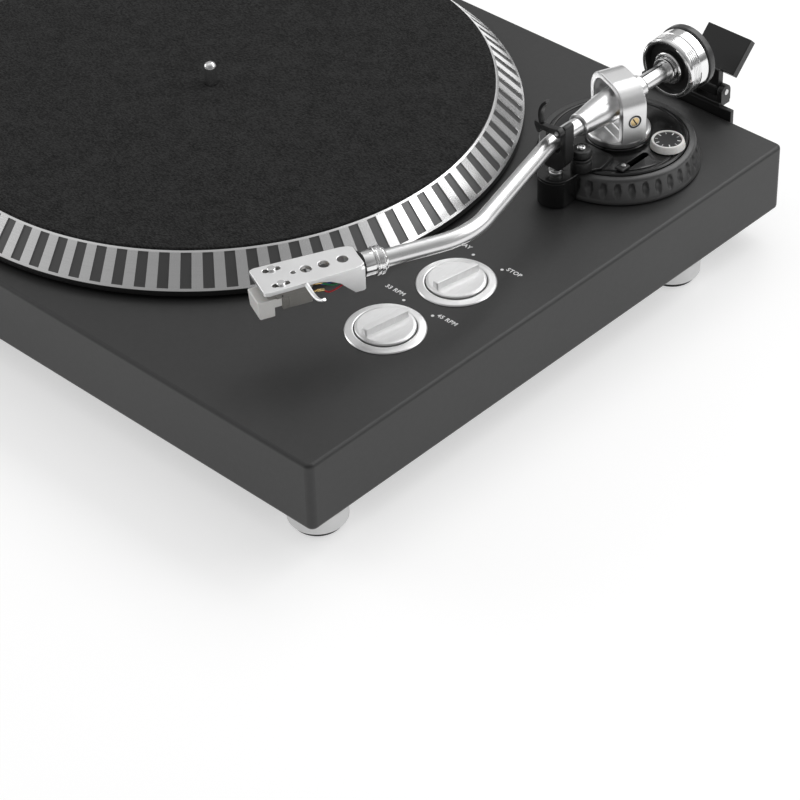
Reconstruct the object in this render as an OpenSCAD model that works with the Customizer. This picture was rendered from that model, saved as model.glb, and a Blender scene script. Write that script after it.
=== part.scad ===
// Record player with a belt-driven platter and an S-shaped tonearm.
// All pieces are drawn in the deck frame: the spindle's axis at the top face of the plinth.
// deck() then moves them to the part's own frame: centred, standing on z = 0.

/* [Case] */
// Width of the plinth
plinth_w = 450; // [440:1:480]
// Depth of the plinth
plinth_d = 352; // [350:1:380]
// Height of the plinth
plinth_h = 39; // [38:1:46]
// Thickness of the plinth's side walls
wall_t = 9; // [7:0.5:12]
// Thickness of the plinth's top
top_t = 6; // [5:0.5:7]
// Radius of the plinth's upright corners
corner_r = 4; // [3:0.5:8]
// Thickness of the base plate
base_t = 3; // [2:0.5:4]
// Distance from the spindle to the middle of the plinth
case_x = 21; // [18:1:24]
// Height of each foot with its pad
foot_h = 17; // [12:1:24]
// Radius of each foot
foot_r = 15; // [12:0.5:16]

/* [Platter] */
// Outer radius of the platter
platter_r = 166; // [162:1:167]
// Radius of the slipmat
mat_r = 151; // [146:1:151]
// Height of the slipmat's top above the plinth
mat_z = 20.3; // [19:0.1:22]
// Thickness of the slipmat
mat_t = 1; // [0.8:0.1:1.2]
// Height of the rim's upper edge above the plinth
rim_z = 5; // [4:0.5:6]
// Radius of the spindle
spindle_r = 3.6; // [3.55:0.01:3.62]
// Height of the spindle's tip above the slipmat
spindle_h = 12.7; // [10:0.1:15]
// Radius of the rim that the belt runs on
drive_r = 72; // [68:1:76]
// Radius of the motor pulley
pulley_r = 6.5; // [5:0.1:8]

/* [Knobs] */
// Distance of both knobs to the right of the spindle
knob_x = 200; // [196:1:204]
// Radius of the turning part of a knob
knob_r = 15.2; // [12:0.1:16]
// Outer radius of the fixed ring round a knob
ring_r = 20.3; // [19:0.1:22]
// Angle through which a knob's grip is turned at rest
knob_turn = 10; // [0:1:24]

/* [Tonearm] */
// Height of the tube's axis above the plinth
arm_z = 36.5; // [36:0.5:38]
// Height of the level bearing axis above the plinth
pivot_z = 33; // [32.5:0.5:33.5]
// Radius of the tube
tube_r = 4.4; // [4:0.1:4.4]
// Skew of the level bearings from square to the tube
skew = 21.5; // [20:0.5:23]
// Angle of the tube between its two bends
bend_out = 15.5; // [15:0.5:16]
// Angle of the headshell
shell_turn = 23.5; // [23:0.5:24]
// Radius of the counterweight
weight_r = 16.8; // [15:0.1:16.8]

/* [Dust cover hinges] */
// Distance of each hinge from the middle of the plinth
hinge_x = 172.6; // [165:0.1:175]
// Lean of the open hinge leaf from upright
leaf_lean = 45; // [40:1:50]
// Length of the hinge leaf's plate
leaf_l = 21; // [18:1:24]

/* [Hidden] */
$fn = 64;

eps = 0.01;
run_gap = 0.05;
free_gap = 0.3;
leaf_t = 5;
leaf_w = 28.7;
leaf_foot = [0.5, 11];
hinge_pin_z = 12;
rail_x = [-43.5, 17.3];
rail_screws = [-37, 13];
hinge_pin_y = plinth_d / 2 + 5.5;
back_reach = hinge_pin_y + leaf_foot.x + leaf_l * sin(leaf_lean) + leaf_t / 2 * cos(leaf_lean);
deck_z = plinth_h + foot_h;
deck_y = -(back_reach - plinth_d / 2) / 2;

inner_w = plinth_w - 2 * wall_t;
inner_d = plinth_d - 2 * wall_t;
floor_z = base_t - plinth_h;
boss_r = 6;
screw_r = 1.5;
screw_head_r = 3;
bolt_r = 3;
pad_t = 3;
foot_places = [
    [case_x - 206, -154], [case_x + 206, -154], [case_x - 206, 110], [case_x + 206, 110]
];
boss_places = [
    for (x = [-200, -70, 70, 200], y = [-1, 1])
        if (abs(x) < 100 || y < 0) [case_x + x, y * (abs(x) > 100 ? 118 : 158)]
];

platter_z = 8;
web_z = 14.6;
shaft_r = 4;
bush_r = 10;
housing_low = -34;
ball_r = 2.5;
ball_z = housing_low + 3 + ball_r;
belt_low = 6;
belt_h = 4;
belt_t = 0.7;
motor_at = [-90, 54];
motor_gap = norm(motor_at);
motor_dir = atan2(motor_at.y, motor_at.x);
motor_r = 18;
board_at = [-62, 122];
board_size = [96, 56, 1.6];
board_z = -28;
socket_x = [-95, -77];
ground_x = -60;
inlet_x = -30;
port_z = -20;

speed_y = -77;
play_y = -26.5;

arm_at = [189.3, 109];
base_top = 15;
base_r = 36.6;
ring_in = 37;
ring_out = 43.5;
ring_top = 14;
scallops = 36;
column_r = 13;
column_low = -28;
post_r = 3;
turret_r = 17;
turret_z = [17, 21];
yoke_w = 35;
yoke_d = 14;
yoke_top = 51;
yoke_wall = 4;
barrel_r = 8.6;
barrel_front = -32;
barrel_back = 8;
block_half = 10.3;
tube_in = 3.5;
bend_r = [60, 46];
bend_y = [-45, -123];
bend_mid = [bend_r[0] * (1 - cos(bend_out)), bend_y[0] - bend_r[0] * sin(bend_out)];
run_mid = (bend_mid.y - bend_y[1]) / cos(bend_out);
bend_two = [bend_mid.x + run_mid * sin(bend_out), bend_y[1]];
bend_cen = bend_two - bend_r[1] * [cos(bend_out), sin(bend_out)];
bend_end = bend_cen + bend_r[1] * [cos(shell_turn), -sin(shell_turn)];
collar_l = 13.5;
run_end = 28.3;
neck_l = 8;
neck_gap = collar_l - neck_l;
shell_at = bend_end + (run_end + collar_l) * [-sin(shell_turn), -cos(shell_turn)];
shell_top = 6.3;
plate_t = 2.2;
plate_low = shell_top - plate_t;
slot_x = 6.35;
slot_y = -42;
wire_x = [-4.5, -1.5, 1.5, 4.5];
weight_y = [40, 53];
dial_x = [26, 8.7];
slider_x = 22.2;
slot_run = [-25, -3];
lift_at = [7.2, -37.5];
rest_at = [0, -48.8];
clip_pivot = [6.6, 46];
clip_y = [-56.1, -52.6];
tab_at = [6.6, 52.2];
tab_r = 10.9;
tab_arc = [128, 74];

// Places drawn pieces from the deck frame in the part's frame
module deck() {
    translate([-case_x, deck_y, deck_z]) children();
}

// Moves to the arm's upright axis, at the plinth's top
module at_arm() {
    translate([arm_at.x, arm_at.y, 0]) children();
}

// A box with round upright edges, standing on z = 0
module round_box(w, d, h, r) {
    translate([-w / 2 + r, -d / 2, 0]) cube([w - 2 * r, d, h]);
    translate([-w / 2, -d / 2 + r, 0]) cube([w, d - 2 * r, h]);
    for (x = [-1, 1], y = [-1, 1])
        translate([x * (w / 2 - r), y * (d / 2 - r), 0]) cylinder(r = r, h = h);
}

// An upright cylinder between two heights
module post(r, low, high) {
    translate([0, 0, low]) cylinder(r = r, h = high - low);
}

// A cylinder along Y between two values of y
module bar_y(r, from, to) {
    translate([0, from, 0]) rotate([-90, 0, 0]) cylinder(r = r, h = to - from);
}

// A cylinder along X between two values of x
module bar_x(r, from, to) {
    translate([from, 0, 0]) rotate([0, 90, 0]) cylinder(r = r, h = to - from);
}

// A round rod through a list of points, with a ball at each
module rod(points, r) {
    for (i = [1:len(points) - 1]) {
        a = points[i - 1];
        d = points[i] - a;
        translate(a)
            rotate([0, acos(d.z / norm(d)), atan2(d.y, d.x)])
                cylinder(r = r, h = norm(d));
    }
    for (p = points) translate(p) sphere(r = r + 0.05);
}

module plinth() {
    color("#2c2c2d") deck() difference() {
        union() {
            difference() {
                translate([case_x, 0, -plinth_h]) round_box(plinth_w, plinth_d, plinth_h, corner_r);
                translate([case_x, 0, -plinth_h - 1])
                    round_box(inner_w, inner_d, plinth_h - top_t + 1, 2);
            }
            for (p = boss_places) translate([p.x, p.y, 0]) post(boss_r, floor_z, eps - top_t);
            for (p = foot_places) translate([p.x, p.y, 0]) post(boss_r, floor_z, eps - top_t);
        }
        post(bush_r + free_gap, -top_t - 1, 1);
        translate([motor_at.x, motor_at.y, 0]) post(pulley_r + 3, -top_t - 1, 1);
        for (y = [speed_y, play_y]) translate([knob_x, y, 0]) post(4.8, -top_t - 1, 1);
        at_arm() post(column_r + 5.3, -top_t - 1, 1);
        for (p = boss_places) translate([p.x, p.y, 0]) post(screw_r, floor_z - 1, floor_z + 12);
        for (p = foot_places) translate([p.x, p.y, 0]) post(bolt_r, floor_z - 1, floor_z + 9);
        for (x = socket_x) port_hole(x, 5.3);
        port_hole(ground_x, 3.3);
        port_hole(inlet_x, 4.3);
        hinge_screw_places() bar_y(screw_r, -7.5, 1);
    }
}

// A round hole through the rear wall
module port_hole(x, r) {
    translate([x, plinth_d / 2, port_z]) bar_y(r, -wall_t - 1, 1);
}

// Repeats children at the rear face for each hinge screw
module hinge_screw_places() {
    for (s = [-1, 1], x = rail_screws)
        translate([case_x + s * (hinge_x + x), plinth_d / 2, -3.5]) children();
}

module base_plate() {
    color("#3a3a3c") deck() difference() {
        union() {
            translate([case_x, 0, -plinth_h])
                round_box(inner_w - 2 * free_gap, inner_d - 2 * free_gap, base_t, 2);
            for (x = [-1, 1], y = [-1, 1])
                translate([board_at.x + x * 42, board_at.y + y * 22, 0]) post(3, floor_z - eps, board_z);
        }
        for (p = boss_places) translate([p.x, p.y, 0]) post(screw_r, -plinth_h - 1, floor_z + 1);
        for (p = foot_places) translate([p.x, p.y, 0]) post(bolt_r, -plinth_h - 1, floor_z + 1);
        for (p = boss_places) translate([p.x, p.y, 0]) post(screw_head_r, -plinth_h - 1, -plinth_h + 1.2);
    }
}

module case_screws() {
    color("silver") deck() {
        for (p = boss_places) translate([p.x, p.y, 0]) {
            post(screw_head_r, -plinth_h, -plinth_h + 1.2);
            post(screw_r, -plinth_h + 1.2 - eps, floor_z + 12);
        }
        hinge_screw_places() {
            bar_y(screw_r, -7.5, 3 + eps);
            bar_y(2.6, 3, 4.4);
        }
    }
}

module foot_at(p) {
    color("silver") deck() translate([p.x, p.y, -deck_z + pad_t]) rotate_extrude() polygon([
        [bolt_r, 0], [foot_r - 1, 0], [foot_r, 1], [foot_r, foot_h - pad_t - 0.8],
        [foot_r - 0.8, foot_h - pad_t], [bolt_r, foot_h - pad_t]
    ]);
}
module front_left_foot() { foot_at(foot_places[0]); }
module front_right_foot() { foot_at(foot_places[1]); }
module rear_left_foot() { foot_at(foot_places[2]); }
module rear_right_foot() { foot_at(foot_places[3]); }

module foot_pads() {
    color("#1c1c1c") deck() for (p = foot_places) translate([p.x, p.y, -deck_z])
        rotate_extrude() polygon([[0, 0], [12.2, 0], [13, 0.8], [13, pad_t], [0, pad_t]]);
}

module foot_bolts() {
    color("silver") deck() for (p = foot_places)
        translate([p.x, p.y, 0]) post(bolt_r, pad_t - deck_z + 1, floor_z + 9);
}

module bearing_housing() {
    color("silver") deck() difference() {
        union() {
            post(bush_r, housing_low, 3);
            post(20, -top_t - 3, -top_t);
        }
        post(shaft_r + run_gap, ball_z, 4);
        translate([0, 0, ball_z]) sphere(r = shaft_r + run_gap);
        for (a = [0, 120, 240]) rotate([0, 0, a]) translate([15, 0, 0])
            post(screw_r, -top_t - 4, -top_t + 1);
    }
}

module chassis_screws() {
    color("silver") deck() {
        for (a = [0, 120, 240]) rotate([0, 0, a]) translate([15, 0, 0]) {
            post(screw_r, -top_t - 3 - eps, -top_t);
            post(2.6, -top_t - 4.6, -top_t - 3);
        }
        for (s = [-1, 1]) translate([motor_at.x + s * 22, motor_at.y, 0]) {
            post(screw_r, -top_t - 2 - eps, -top_t);
            post(2.6, -top_t - 3.6, -top_t - 2);
        }
    }
}

module thrust_ball() {
    color("silver") deck() translate([0, 0, housing_low + 1.4 + ball_r]) sphere(r = ball_r);
}

module platter_shaft() {
    color("silver") deck() {
        post(shaft_r, housing_low + 1.4 + 2 * ball_r + run_gap, 5 + eps);
        post(15, 5, platter_z);
        rotate_extrude() polygon([
            [0, platter_z - eps], [shaft_r, platter_z - eps], [shaft_r, mat_z], [spindle_r, mat_z],
            [spindle_r, mat_z + spindle_h - 3],
            [spindle_r - 0.5, mat_z + spindle_h - 1.6], [spindle_r - 1.6, mat_z + spindle_h - 0.5],
            [0, mat_z + spindle_h]
        ]);
    }
}

module platter() {
    color("#b9babb") deck() rotate_extrude($fn = 180) polygon([
        [shaft_r + run_gap, platter_z], [20, platter_z], [20, web_z],
        [drive_r - 5, web_z], [drive_r - 5, 4.5], [drive_r, 4.5], [drive_r, web_z],
        [mat_r - 1, web_z], [platter_r - 6, 6], [platter_r - 6, 1.5], [platter_r - 0.6, 1.5],
        [platter_r, 2.1], [platter_r, rim_z], [mat_r + 1.2, mat_z - mat_t - 0.4],
        [mat_r + 0.4, mat_z - mat_t], [shaft_r + run_gap, mat_z - mat_t]
    ]);
}

module slipmat() {
    color("#262627") deck() difference() {
        translate([0, 0, mat_z - mat_t]) cylinder(r = mat_r, h = mat_t, $fn = 180);
        post(shaft_r + free_gap, 0, mat_z + 1);
    }
}

// The solid inside a loop round two circles, t outside the pulley and the drive rim
module belt_loop(t, low, high) {
    a = drive_r + t;
    b = pulley_r + t;
    lean = acos((a - b) / motor_gap);
    far = [motor_gap, 0];
    up = [cos(lean), sin(lean)];
    down = [cos(lean), -sin(lean)];
    rotate([0, 0, motor_dir]) {
        post(a, low, high);
        translate([far.x, 0, 0]) post(b, low, high);
        translate([0, 0, low]) linear_extrude(high - low)
            polygon([[0, 0], a * down, far + b * down, far, far + b * up, a * up]);
    }
}

module drive_belt() {
    color("#151515") deck() difference() {
        belt_loop(free_gap + belt_t, belt_low, belt_low + belt_h);
        belt_loop(free_gap, belt_low - 1, belt_low + belt_h + 1);
    }
}

module motor() {
    color("#9a9da0") deck() translate([motor_at.x, motor_at.y, 0]) difference() {
        union() {
            post(motor_r, -33, -top_t - 2 + eps);
            translate([0, 0, -top_t - 2]) round_box(54, 30, 2, 6);
        }
        post(1.5 + run_gap, -32, 0);
        for (s = [-1, 1]) translate([s * 22, 0, 0]) post(screw_r, -top_t - 3, 0);
    }
}

module motor_pulley() {
    color("#c9a24a") deck() translate([motor_at.x, motor_at.y, 0]) {
        post(1.5, -31.5, 4 + eps);
        post(pulley_r + 1, 4, 5 + eps);
        post(pulley_r, 5, 11);
        post(pulley_r + 1, 11 - eps, 12);
    }
}

module main_board() {
    color("#1d5a34") deck() translate([board_at.x, board_at.y, board_z]) {
        translate([-board_size.x / 2, -board_size.y / 2, 0]) cube(board_size);
        for (x = [-30, -16, -2]) translate([x, 12, board_size.z - eps]) cylinder(r = 4, h = 11);
        translate([12, -14, board_size.z - eps]) cube([22, 16, 4]);
        translate([-34, -18, board_size.z - eps]) cube([14, 9, 8]);
    }
}

// A panel fitting: a round body through the rear wall with a flange inside
module panel_body(r) {
    translate([0, 0, 0]) bar_y(r, -wall_t - 5, 0.8);
    bar_y(r + 1.6, -wall_t - 2, -wall_t);
}

module dc_inlet() {
    color("#1a1a1a") deck() translate([inlet_x, plinth_d / 2, port_z]) difference() {
        panel_body(4.3);
        bar_y(2.8, -9, 1);
    }
}

module phono_sockets() {
    color("#d8c27a") deck() for (x = socket_x) translate([x, plinth_d / 2, port_z]) {
        difference() {
            union() {
                panel_body(5.3);
                bar_y(4.15, 0.8 - eps, 9);
            }
            bar_y(3.2, 1.5, 10);
        }
        bar_y(1.6, 1.5 - eps, 8);
    }
}

module ground_terminal() {
    color("silver") deck() translate([ground_x, plinth_d / 2, port_z]) {
        panel_body(3.3);
        bar_y(2, 0.8 - eps, 10);
        bar_y(4.4, 3.2, 8);
    }
}

module signal_lead() {
    route = [
        [arm_at.x, arm_at.y, column_low - 2], [170, 140, -32], [40, 150, -32], [-11, 130, -24]
    ];
    color("#202020") deck() rod(route, 1.3);
}

module rotary_switches() {
    color("#55585b") deck() for (y = [speed_y, play_y]) translate([knob_x, y, 0]) difference() {
        union() {
            translate([-10, -10, -18]) cube([20, 20, 10]);
            post(8, -8 - eps, -top_t);
            post(4.5, -top_t - eps, -0.4);
        }
        post(3 + run_gap, -15, 1);
    }
}

module knob_rings() {
    color("#c4c5c6") deck() for (y = [speed_y, play_y]) translate([knob_x, y, 0])
        rotate_extrude() polygon([
            [knob_r + 0.5, 0], [ring_r, 0], [ring_r, 0.5], [ring_r - 1, 1.4], [knob_r + 0.5, 1.4]
        ]);
}

// A knob with a straight grip on a shaft, its grip pointing along +Y before it is turned
module knob_at(y) {
    color("#c8c9ca") deck() translate([knob_x, y, 0]) rotate([0, 0, -knob_turn]) {
        post(3, -14.5, 0.6 + eps);
        rotate_extrude() polygon([
            [0, 0.6], [knob_r, 0.6], [knob_r, 2.2], [knob_r - 0.8, 2.8], [0, 2.8]
        ]);
        translate([-1.9, -13.2, 2.8 - eps]) cube([3.8, 26.4, 3.6]);
    }
}
module speed_knob() { knob_at(speed_y); }
module play_knob() { knob_at(play_y); }

module arm_collar() {
    color("silver") deck() at_arm() difference() {
        union() {
            post(column_r + 5, -24, -0.4);
            post(column_r + 11, -top_t - 3, -top_t);
        }
        post(column_r + run_gap, -25, 1);
    }
}

module height_ring() {
    color("#2a2a2b") deck() at_arm() difference() {
        rotate_extrude($fn = 120) polygon([
            [ring_in, 0.4], [ring_out, 0.4], [ring_out, 2.6], [ring_out - 2.6, ring_top - 1],
            [ring_out - 3.6, ring_top], [ring_in, ring_top]
        ]);
        for (i = [0:scallops - 1]) rotate([0, 0, i * 360 / scallops])
            translate([ring_out + 0.9, 0, 0]) post(2.2, 3.2, 12.6);
    }
}

module arm_base() {
    color("#232324") deck() at_arm() difference() {
        union() {
            difference() {
                post(base_r, 1, base_top);
                post(base_r - 3.4, 0, base_top - 3);
            }
            post(column_r, column_low, base_top - 3 + eps);
            post(turret_r, base_top - eps, base_top + 1.6);
        }
        post(6.5, column_low - 1, base_top + 2);
        difference() {
            post(base_r - 2, base_top - 0.8, base_top + 0.5);
            post(base_r - 3.2, base_top - 1, base_top + 1);
        }
        translate([slider_x - 2, slot_run[0], base_top - 5.6]) cube([4, slot_run[1] - slot_run[0], 6]);
        translate([dial_x.x, dial_x.y, 0]) post(2.5 + run_gap, base_top - 4, base_top + 1);
    }
}

module arm_bearings() {
    color("silver") deck() at_arm() for (z = [-24, 8]) difference() {
        post(6.5, z, z + 5);
        post(post_r + run_gap, z - 1, z + 6);
    }
}

module antiskate_dial() {
    color("#d9dadb") deck() at_arm() translate([dial_x.x, dial_x.y, 0]) {
        post(2.5, base_top - 3.5, base_top + 0.4);
        rotate_extrude() polygon([
            [0, base_top + 0.3], [8.8, base_top + 0.3], [9.2, base_top + 0.8], [8.4, base_top + 4],
            [7.4, base_top + 4.4], [7.2, base_top + 4], [0, base_top + 4]
        ]);
    }
}

module cue_slider() {
    color("#161616") deck() at_arm() translate([slider_x, slot_run[0] + 3.2, 0]) {
        translate([-1.6, -2.6, base_top - 5]) cube([3.2, 5.2, 5.4]);
        translate([-2.6, -4.2, base_top + 0.3]) cube([5.2, 6.8, 1.6]);
        post(1.3, base_top + 1.9 - eps, base_top + 2.5);
    }
}

module lift_cylinder() {
    color("#1b1b1b") deck() at_arm() translate([lift_at.x, lift_at.y, 0]) difference() {
        post(5.5, base_top + 1.5, base_top + 9);
        post(2.5 + run_gap, base_top + 1, base_top + 10);
    }
}

module lift_platform() {
    color("#1b1b1b") deck() at_arm() {
        translate([lift_at.x, lift_at.y, 0]) {
            post(2.5, base_top + 3, base_top + 9.6);
            post(5.2, base_top + 9.5, base_top + 13.5);
            post(2.2, base_top + 13.5 - eps, base_top + 15);
        }
        translate([0, 0, 26.8]) rotate([0, 0, 236]) rotate_extrude(angle = 40)
            translate([norm(lift_at), 0]) circle(r = 1.4, $fn = 24);
    }
}

module rest_bracket() {
    color("#1e1e1f") deck() at_arm() difference() {
        union() {
            translate([rest_at.x, rest_at.y, 0]) post(9.5, 0.5, base_top + 1.5);
            translate([-9.5, rest_at.y, base_top]) cube([19, -17.6 - rest_at.y, 1.5]);
        }
        post(ring_out + 0.5, 0, base_top - 0.3);
        translate([rest_at.x, rest_at.y, 0]) post(2.5, 6, base_top + 2);
    }
}

module rest_post() {
    color("silver") deck() at_arm() translate([rest_at.x, rest_at.y, 0]) {
        post(2.5, 6, 22);
        post(3.4, base_top + 1.5, base_top + 3.5);
    }
}

module rest_cradle() {
    color("#191919") deck() at_arm() difference() {
        union() {
            translate([0, rest_at.y + 3.4, 0]) rotate([90, 0, 0]) linear_extrude(6.8) polygon([
                [-4.6, 20.5], [4.6, 20.5], [9.2, 28], [9.2, 46.6], [7.8, 48.4], [6.4, 48],
                [5.4, 45.6], [5.4, 33.6], [3, 31.5], [-5.6, 31.5], [-7, 30.6], [-7, 27]
            ]);
            translate([clip_pivot.x, 0, clip_pivot.y]) bar_y(1.2, clip_y[0] - 0.4, rest_at.y);
        }
        translate([rest_at.x, rest_at.y, 0]) post(2.5, 20, 22);
    }
}

// The clip, closed: a bar over the tube with a curved finger tab at its far end
module rest_clip() {
    color("#191919") deck() at_arm() difference() {
        union() {
            translate([0, clip_y[1], 0]) rotate([90, 0, 0]) linear_extrude(clip_y[1] - clip_y[0]) polygon([
                [7, 44.3], [7, 48.4], [2, 47.4], [-4, 47.4], [-8.4, 48.2], [-8.4, 45.6], [-6.4, 41.6],
                [-5, 41.6], [-4.4, 44.3]
            ]);
            translate([clip_pivot.x, 0, clip_pivot.y]) bar_y(2.6, clip_y[0], clip_y[1]);
            translate([tab_at.x, clip_y[1], tab_at.y]) rotate([90, 0, 0]) rotate([0, 0, tab_arc[0]])
                rotate_extrude(angle = tab_arc[1]) translate([tab_r, 0]) square([1.8, clip_y[1] - clip_y[0]]);
        }
        translate([clip_pivot.x, 0, clip_pivot.y]) bar_y(1.2 + run_gap, clip_y[0] - 1, clip_y[1] + 1);
    }
}

module arm_turret() {
    color("#c2c3c5") deck() at_arm() {
        post(turret_r, turret_z[0], turret_z[1]);
        post(post_r, -23.5, turret_z[0] + eps);
    }
}

// Moves to the level bearing axis, with X along it
module at_pivot() {
    at_arm() translate([0, 0, pivot_z]) rotate([0, 0, -skew]) children();
}

// An upright slab with two round top corners, centred on X and Y
module arch(w, d, low, high, r) {
    translate([-w / 2, -d / 2, low]) cube([w, d, high - r - low]);
    translate([-w / 2 + r, -d / 2, low]) cube([w - 2 * r, d, high - low]);
    for (s = [-1, 1]) translate([s * (w / 2 - r), 0, high - r]) bar_y(r, -d / 2, d / 2);
}

module yoke() {
    color("#c6c7c9") deck() difference() {
        at_arm() rotate([0, 0, -skew]) difference() {
            arch(yoke_w, yoke_d, turret_z[1], yoke_top, 13);
            arch(yoke_w - 2 * yoke_wall, yoke_d + 2, turret_z[1] - 1, yoke_top - 3.5, 9.4);
        }
        at_pivot() bar_x(2, -yoke_w, yoke_w);
        at_pivot() bar_x(3.6, yoke_w / 2 - 1.6, yoke_w);
    }
}

module pivot_screws() {
    color("#c4a872") deck() at_pivot() {
        bar_x(2, -yoke_w / 2 + 1, -block_half - free_gap + eps);
        bar_x(2.8, -yoke_w / 2 + yoke_wall, -block_half - free_gap);
        bar_x(1, -block_half - free_gap - eps, -block_half + 2);
        bar_x(2, block_half + free_gap - eps, yoke_w / 2 - 1.6 + eps);
        bar_x(2.8, block_half + free_gap, yoke_w / 2 - yoke_wall);
        bar_x(2.9, yoke_w / 2 - 1.6, yoke_w / 2 - 0.6);
        bar_x(1, block_half - 2, block_half + free_gap + eps);
    }
}

// Moves to the tube's straight axis above the arm's upright axis
module at_tube() {
    at_arm() translate([0, 0, arm_z]) children();
}

module arm_barrel() {
    color("#bfc0c2") deck() difference() {
        union() {
            at_tube() rotate([90, 0, 0]) rotate_extrude() polygon([
                [0, -barrel_back], [barrel_r - 1, -barrel_back], [barrel_r, -barrel_back + 1], [barrel_r, 8],
                [barrel_r - 0.5, 14], [barrel_r - 1.6, 22], [6, 28], [6, -barrel_front], [0, -barrel_front]
            ]);
            at_pivot() bar_x(4.2, -block_half, block_half);
        }
        at_tube() bar_y(tube_r, barrel_front - 1, barrel_front + 12);
        for (s = [0, 180]) at_pivot() rotate([0, 0, s]) bar_x(1 + run_gap, block_half - 2.5, block_half + 1);
    }
}

// The tube's bent path drawn as a solid of radius r, each straight lapping over the bends
module tube_path(r) {
    lap = 0.4;
    bar_y(r, bend_y[0] - lap, barrel_front + 12);
    translate([bend_r[0], bend_y[0], 0]) rotate([0, 0, 180]) rotate_extrude(angle = bend_out)
        translate([bend_r[0], 0]) circle(r = r - 0.04);
    translate([bend_mid.x, bend_mid.y, 0]) rotate([0, 0, bend_out]) bar_y(r, -run_mid - lap, lap);
    translate([bend_cen.x, bend_cen.y, 0]) rotate([0, 0, -shell_turn])
        rotate_extrude(angle = bend_out + shell_turn) translate([bend_r[1], 0]) circle(r = r - 0.04);
    translate([bend_end.x, bend_end.y, 0]) rotate([0, 0, -shell_turn]) bar_y(r, -run_end - neck_gap, lap);
}

module arm_tube() {
    color("#c9cacc") deck() at_tube() difference() {
        tube_path(tube_r);
        tube_path(tube_in);
        bar_y(tube_in, barrel_front, barrel_front + 13);
        translate([bend_end.x, bend_end.y, 0]) rotate([0, 0, -shell_turn])
            bar_y(tube_in, -run_end - neck_gap - 1, -run_end);
    }
}

// Moves to the headshell's rear face, with the shell lying towards -Y
module at_shell() {
    at_tube() translate([shell_at.x, shell_at.y, 0]) rotate([0, 0, -shell_turn]) children();
}

module lock_collar() {
    color("#dcdddf") deck() at_shell() rotate([90, 0, 0]) rotate_extrude() polygon([
        [tube_r + run_gap, -collar_l], [6.1, -collar_l], [6.4, -collar_l + 1.8], [7.3, -collar_l + 2],
        [7.3, -collar_l + 6.4], [6.3, -collar_l + 6.8], [6.3, -1.2], [tube_r + run_gap, -1.2]
    ]);
}

module shell_washer() {
    color("#141414") deck() at_shell() difference() {
        bar_y(6.9, 0, 0.9);
        bar_y(3.9, -1, 2);
    }
}

module headshell() {
    color("#d0d1d2") deck() at_shell() difference() {
        union() {
            translate([0, 0, plate_low]) linear_extrude(plate_t) polygon([
                [-7.4, 0], [7.4, 0], [9.6, -4], [11, -50], [10, -52], [-10, -52], [-11, -50], [-9.6, -4]
            ]);
            for (s = [-1, 1]) difference() {
                translate([s * 8.5 - 0.9, -34, -8]) cube([1.8, 33, plate_low + 8 + eps]);
                translate([0, -22, -9.6]) bar_x(13, -12, 12);
                translate([-12, -40, -9]) cube([24, 18, plate_low + 9]);
            }
            translate([-9.4, -5, -8]) cube([18.8, 5, plate_low + 8 + eps]);
            bar_y(3.9, -1, neck_l);
        }
        for (y = [-8.3, -17.9, -27]) translate([0, y, 0]) post(2.75, 0, 9);
        translate([0, -33.5, 0]) post(1.2, 0, 9);
        for (s = [-1, 1]) translate([s * slot_x - 1.4, slot_y - 4.5, 0]) cube([2.8, 9, 9]);
    }
}

module finger_lift() {
    color("#d6d7d8") deck() at_shell() translate([0, -29.5, 0]) rotate([90, 0, 0])
        linear_extrude(2.6) polygon([
            [10.9, 4.3], [19, 3.9], [25.4, 4.9], [28.6, 7.2], [28.2, 8.3], [24.8, 6.2], [19, 5.3], [10.9, 6]
        ]);
}

module cartridge() {
    color("#b7b5ad") deck() at_shell() {
        difference() {
            translate([-8.5, -50, -1]) cube([17, 23, plate_low + 1]);
            for (s = [-1, 1]) translate([s * slot_x, slot_y, 0]) post(1.2, -3, 9);
        }
        translate([-7.6, -42, -8]) cube([15.2, 15, 7 + eps]);
        for (x = wire_x) translate([x, 0, -3]) bar_y(0.6, -27 - eps, -22);
    }
}

module stylus() {
    color("#e9e4df") deck() at_shell() {
        translate([-7, -54.5, -12.5]) cube([14, 9, 11.5]);
        translate([-7, -45.5 - eps, -6]) cube([14, 3.3, 5]);
        rod([[0, -43.6, -8.4], [0, -44.4, -14.1]], 0.35);
        translate([0, -43.6, 0]) post(1.6, -8.6, -6 + eps);
    }
}

module headshell_leads() {
    r = 11;
    half = asin(8 / r);
    color("#b03030") deck() at_shell() for (x = wire_x) {
        translate([x, -13.5, -3 + r * cos(half)]) rotate([90, 0, 90]) rotate([0, 0, -90 - half])
            rotate_extrude(angle = 2 * half) translate([r, 0]) circle(r = 0.45, $fn = 16);
    }
}

module headshell_screws() {
    color("silver") deck() at_shell() for (s = [-1, 1]) translate([s * slot_x, slot_y, 0]) {
        post(2.2, shell_top, shell_top + 1.1);
        post(1.2, -0.6, shell_top + eps);
    }
}

module rear_shaft() {
    color("#bcbdbf") deck() at_tube() difference() {
        union() {
            bar_y(6.5, barrel_back, 17);
            bar_y(4.5, 17 - eps, 58);
        }
        translate([-0.4, 18, 1]) cube([0.8, 30, 5]);
    }
}

module weight_core() {
    color("#d0d1d3") deck() at_tube() difference() {
        union() {
            bar_y(5.6, weight_y[0] - 4, weight_y[1] - 0.5);
            bar_y(6.8, weight_y[0] - 4, weight_y[0] - 2);
        }
        bar_y(4.5 + run_gap, 0, 70);
    }
}

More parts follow.
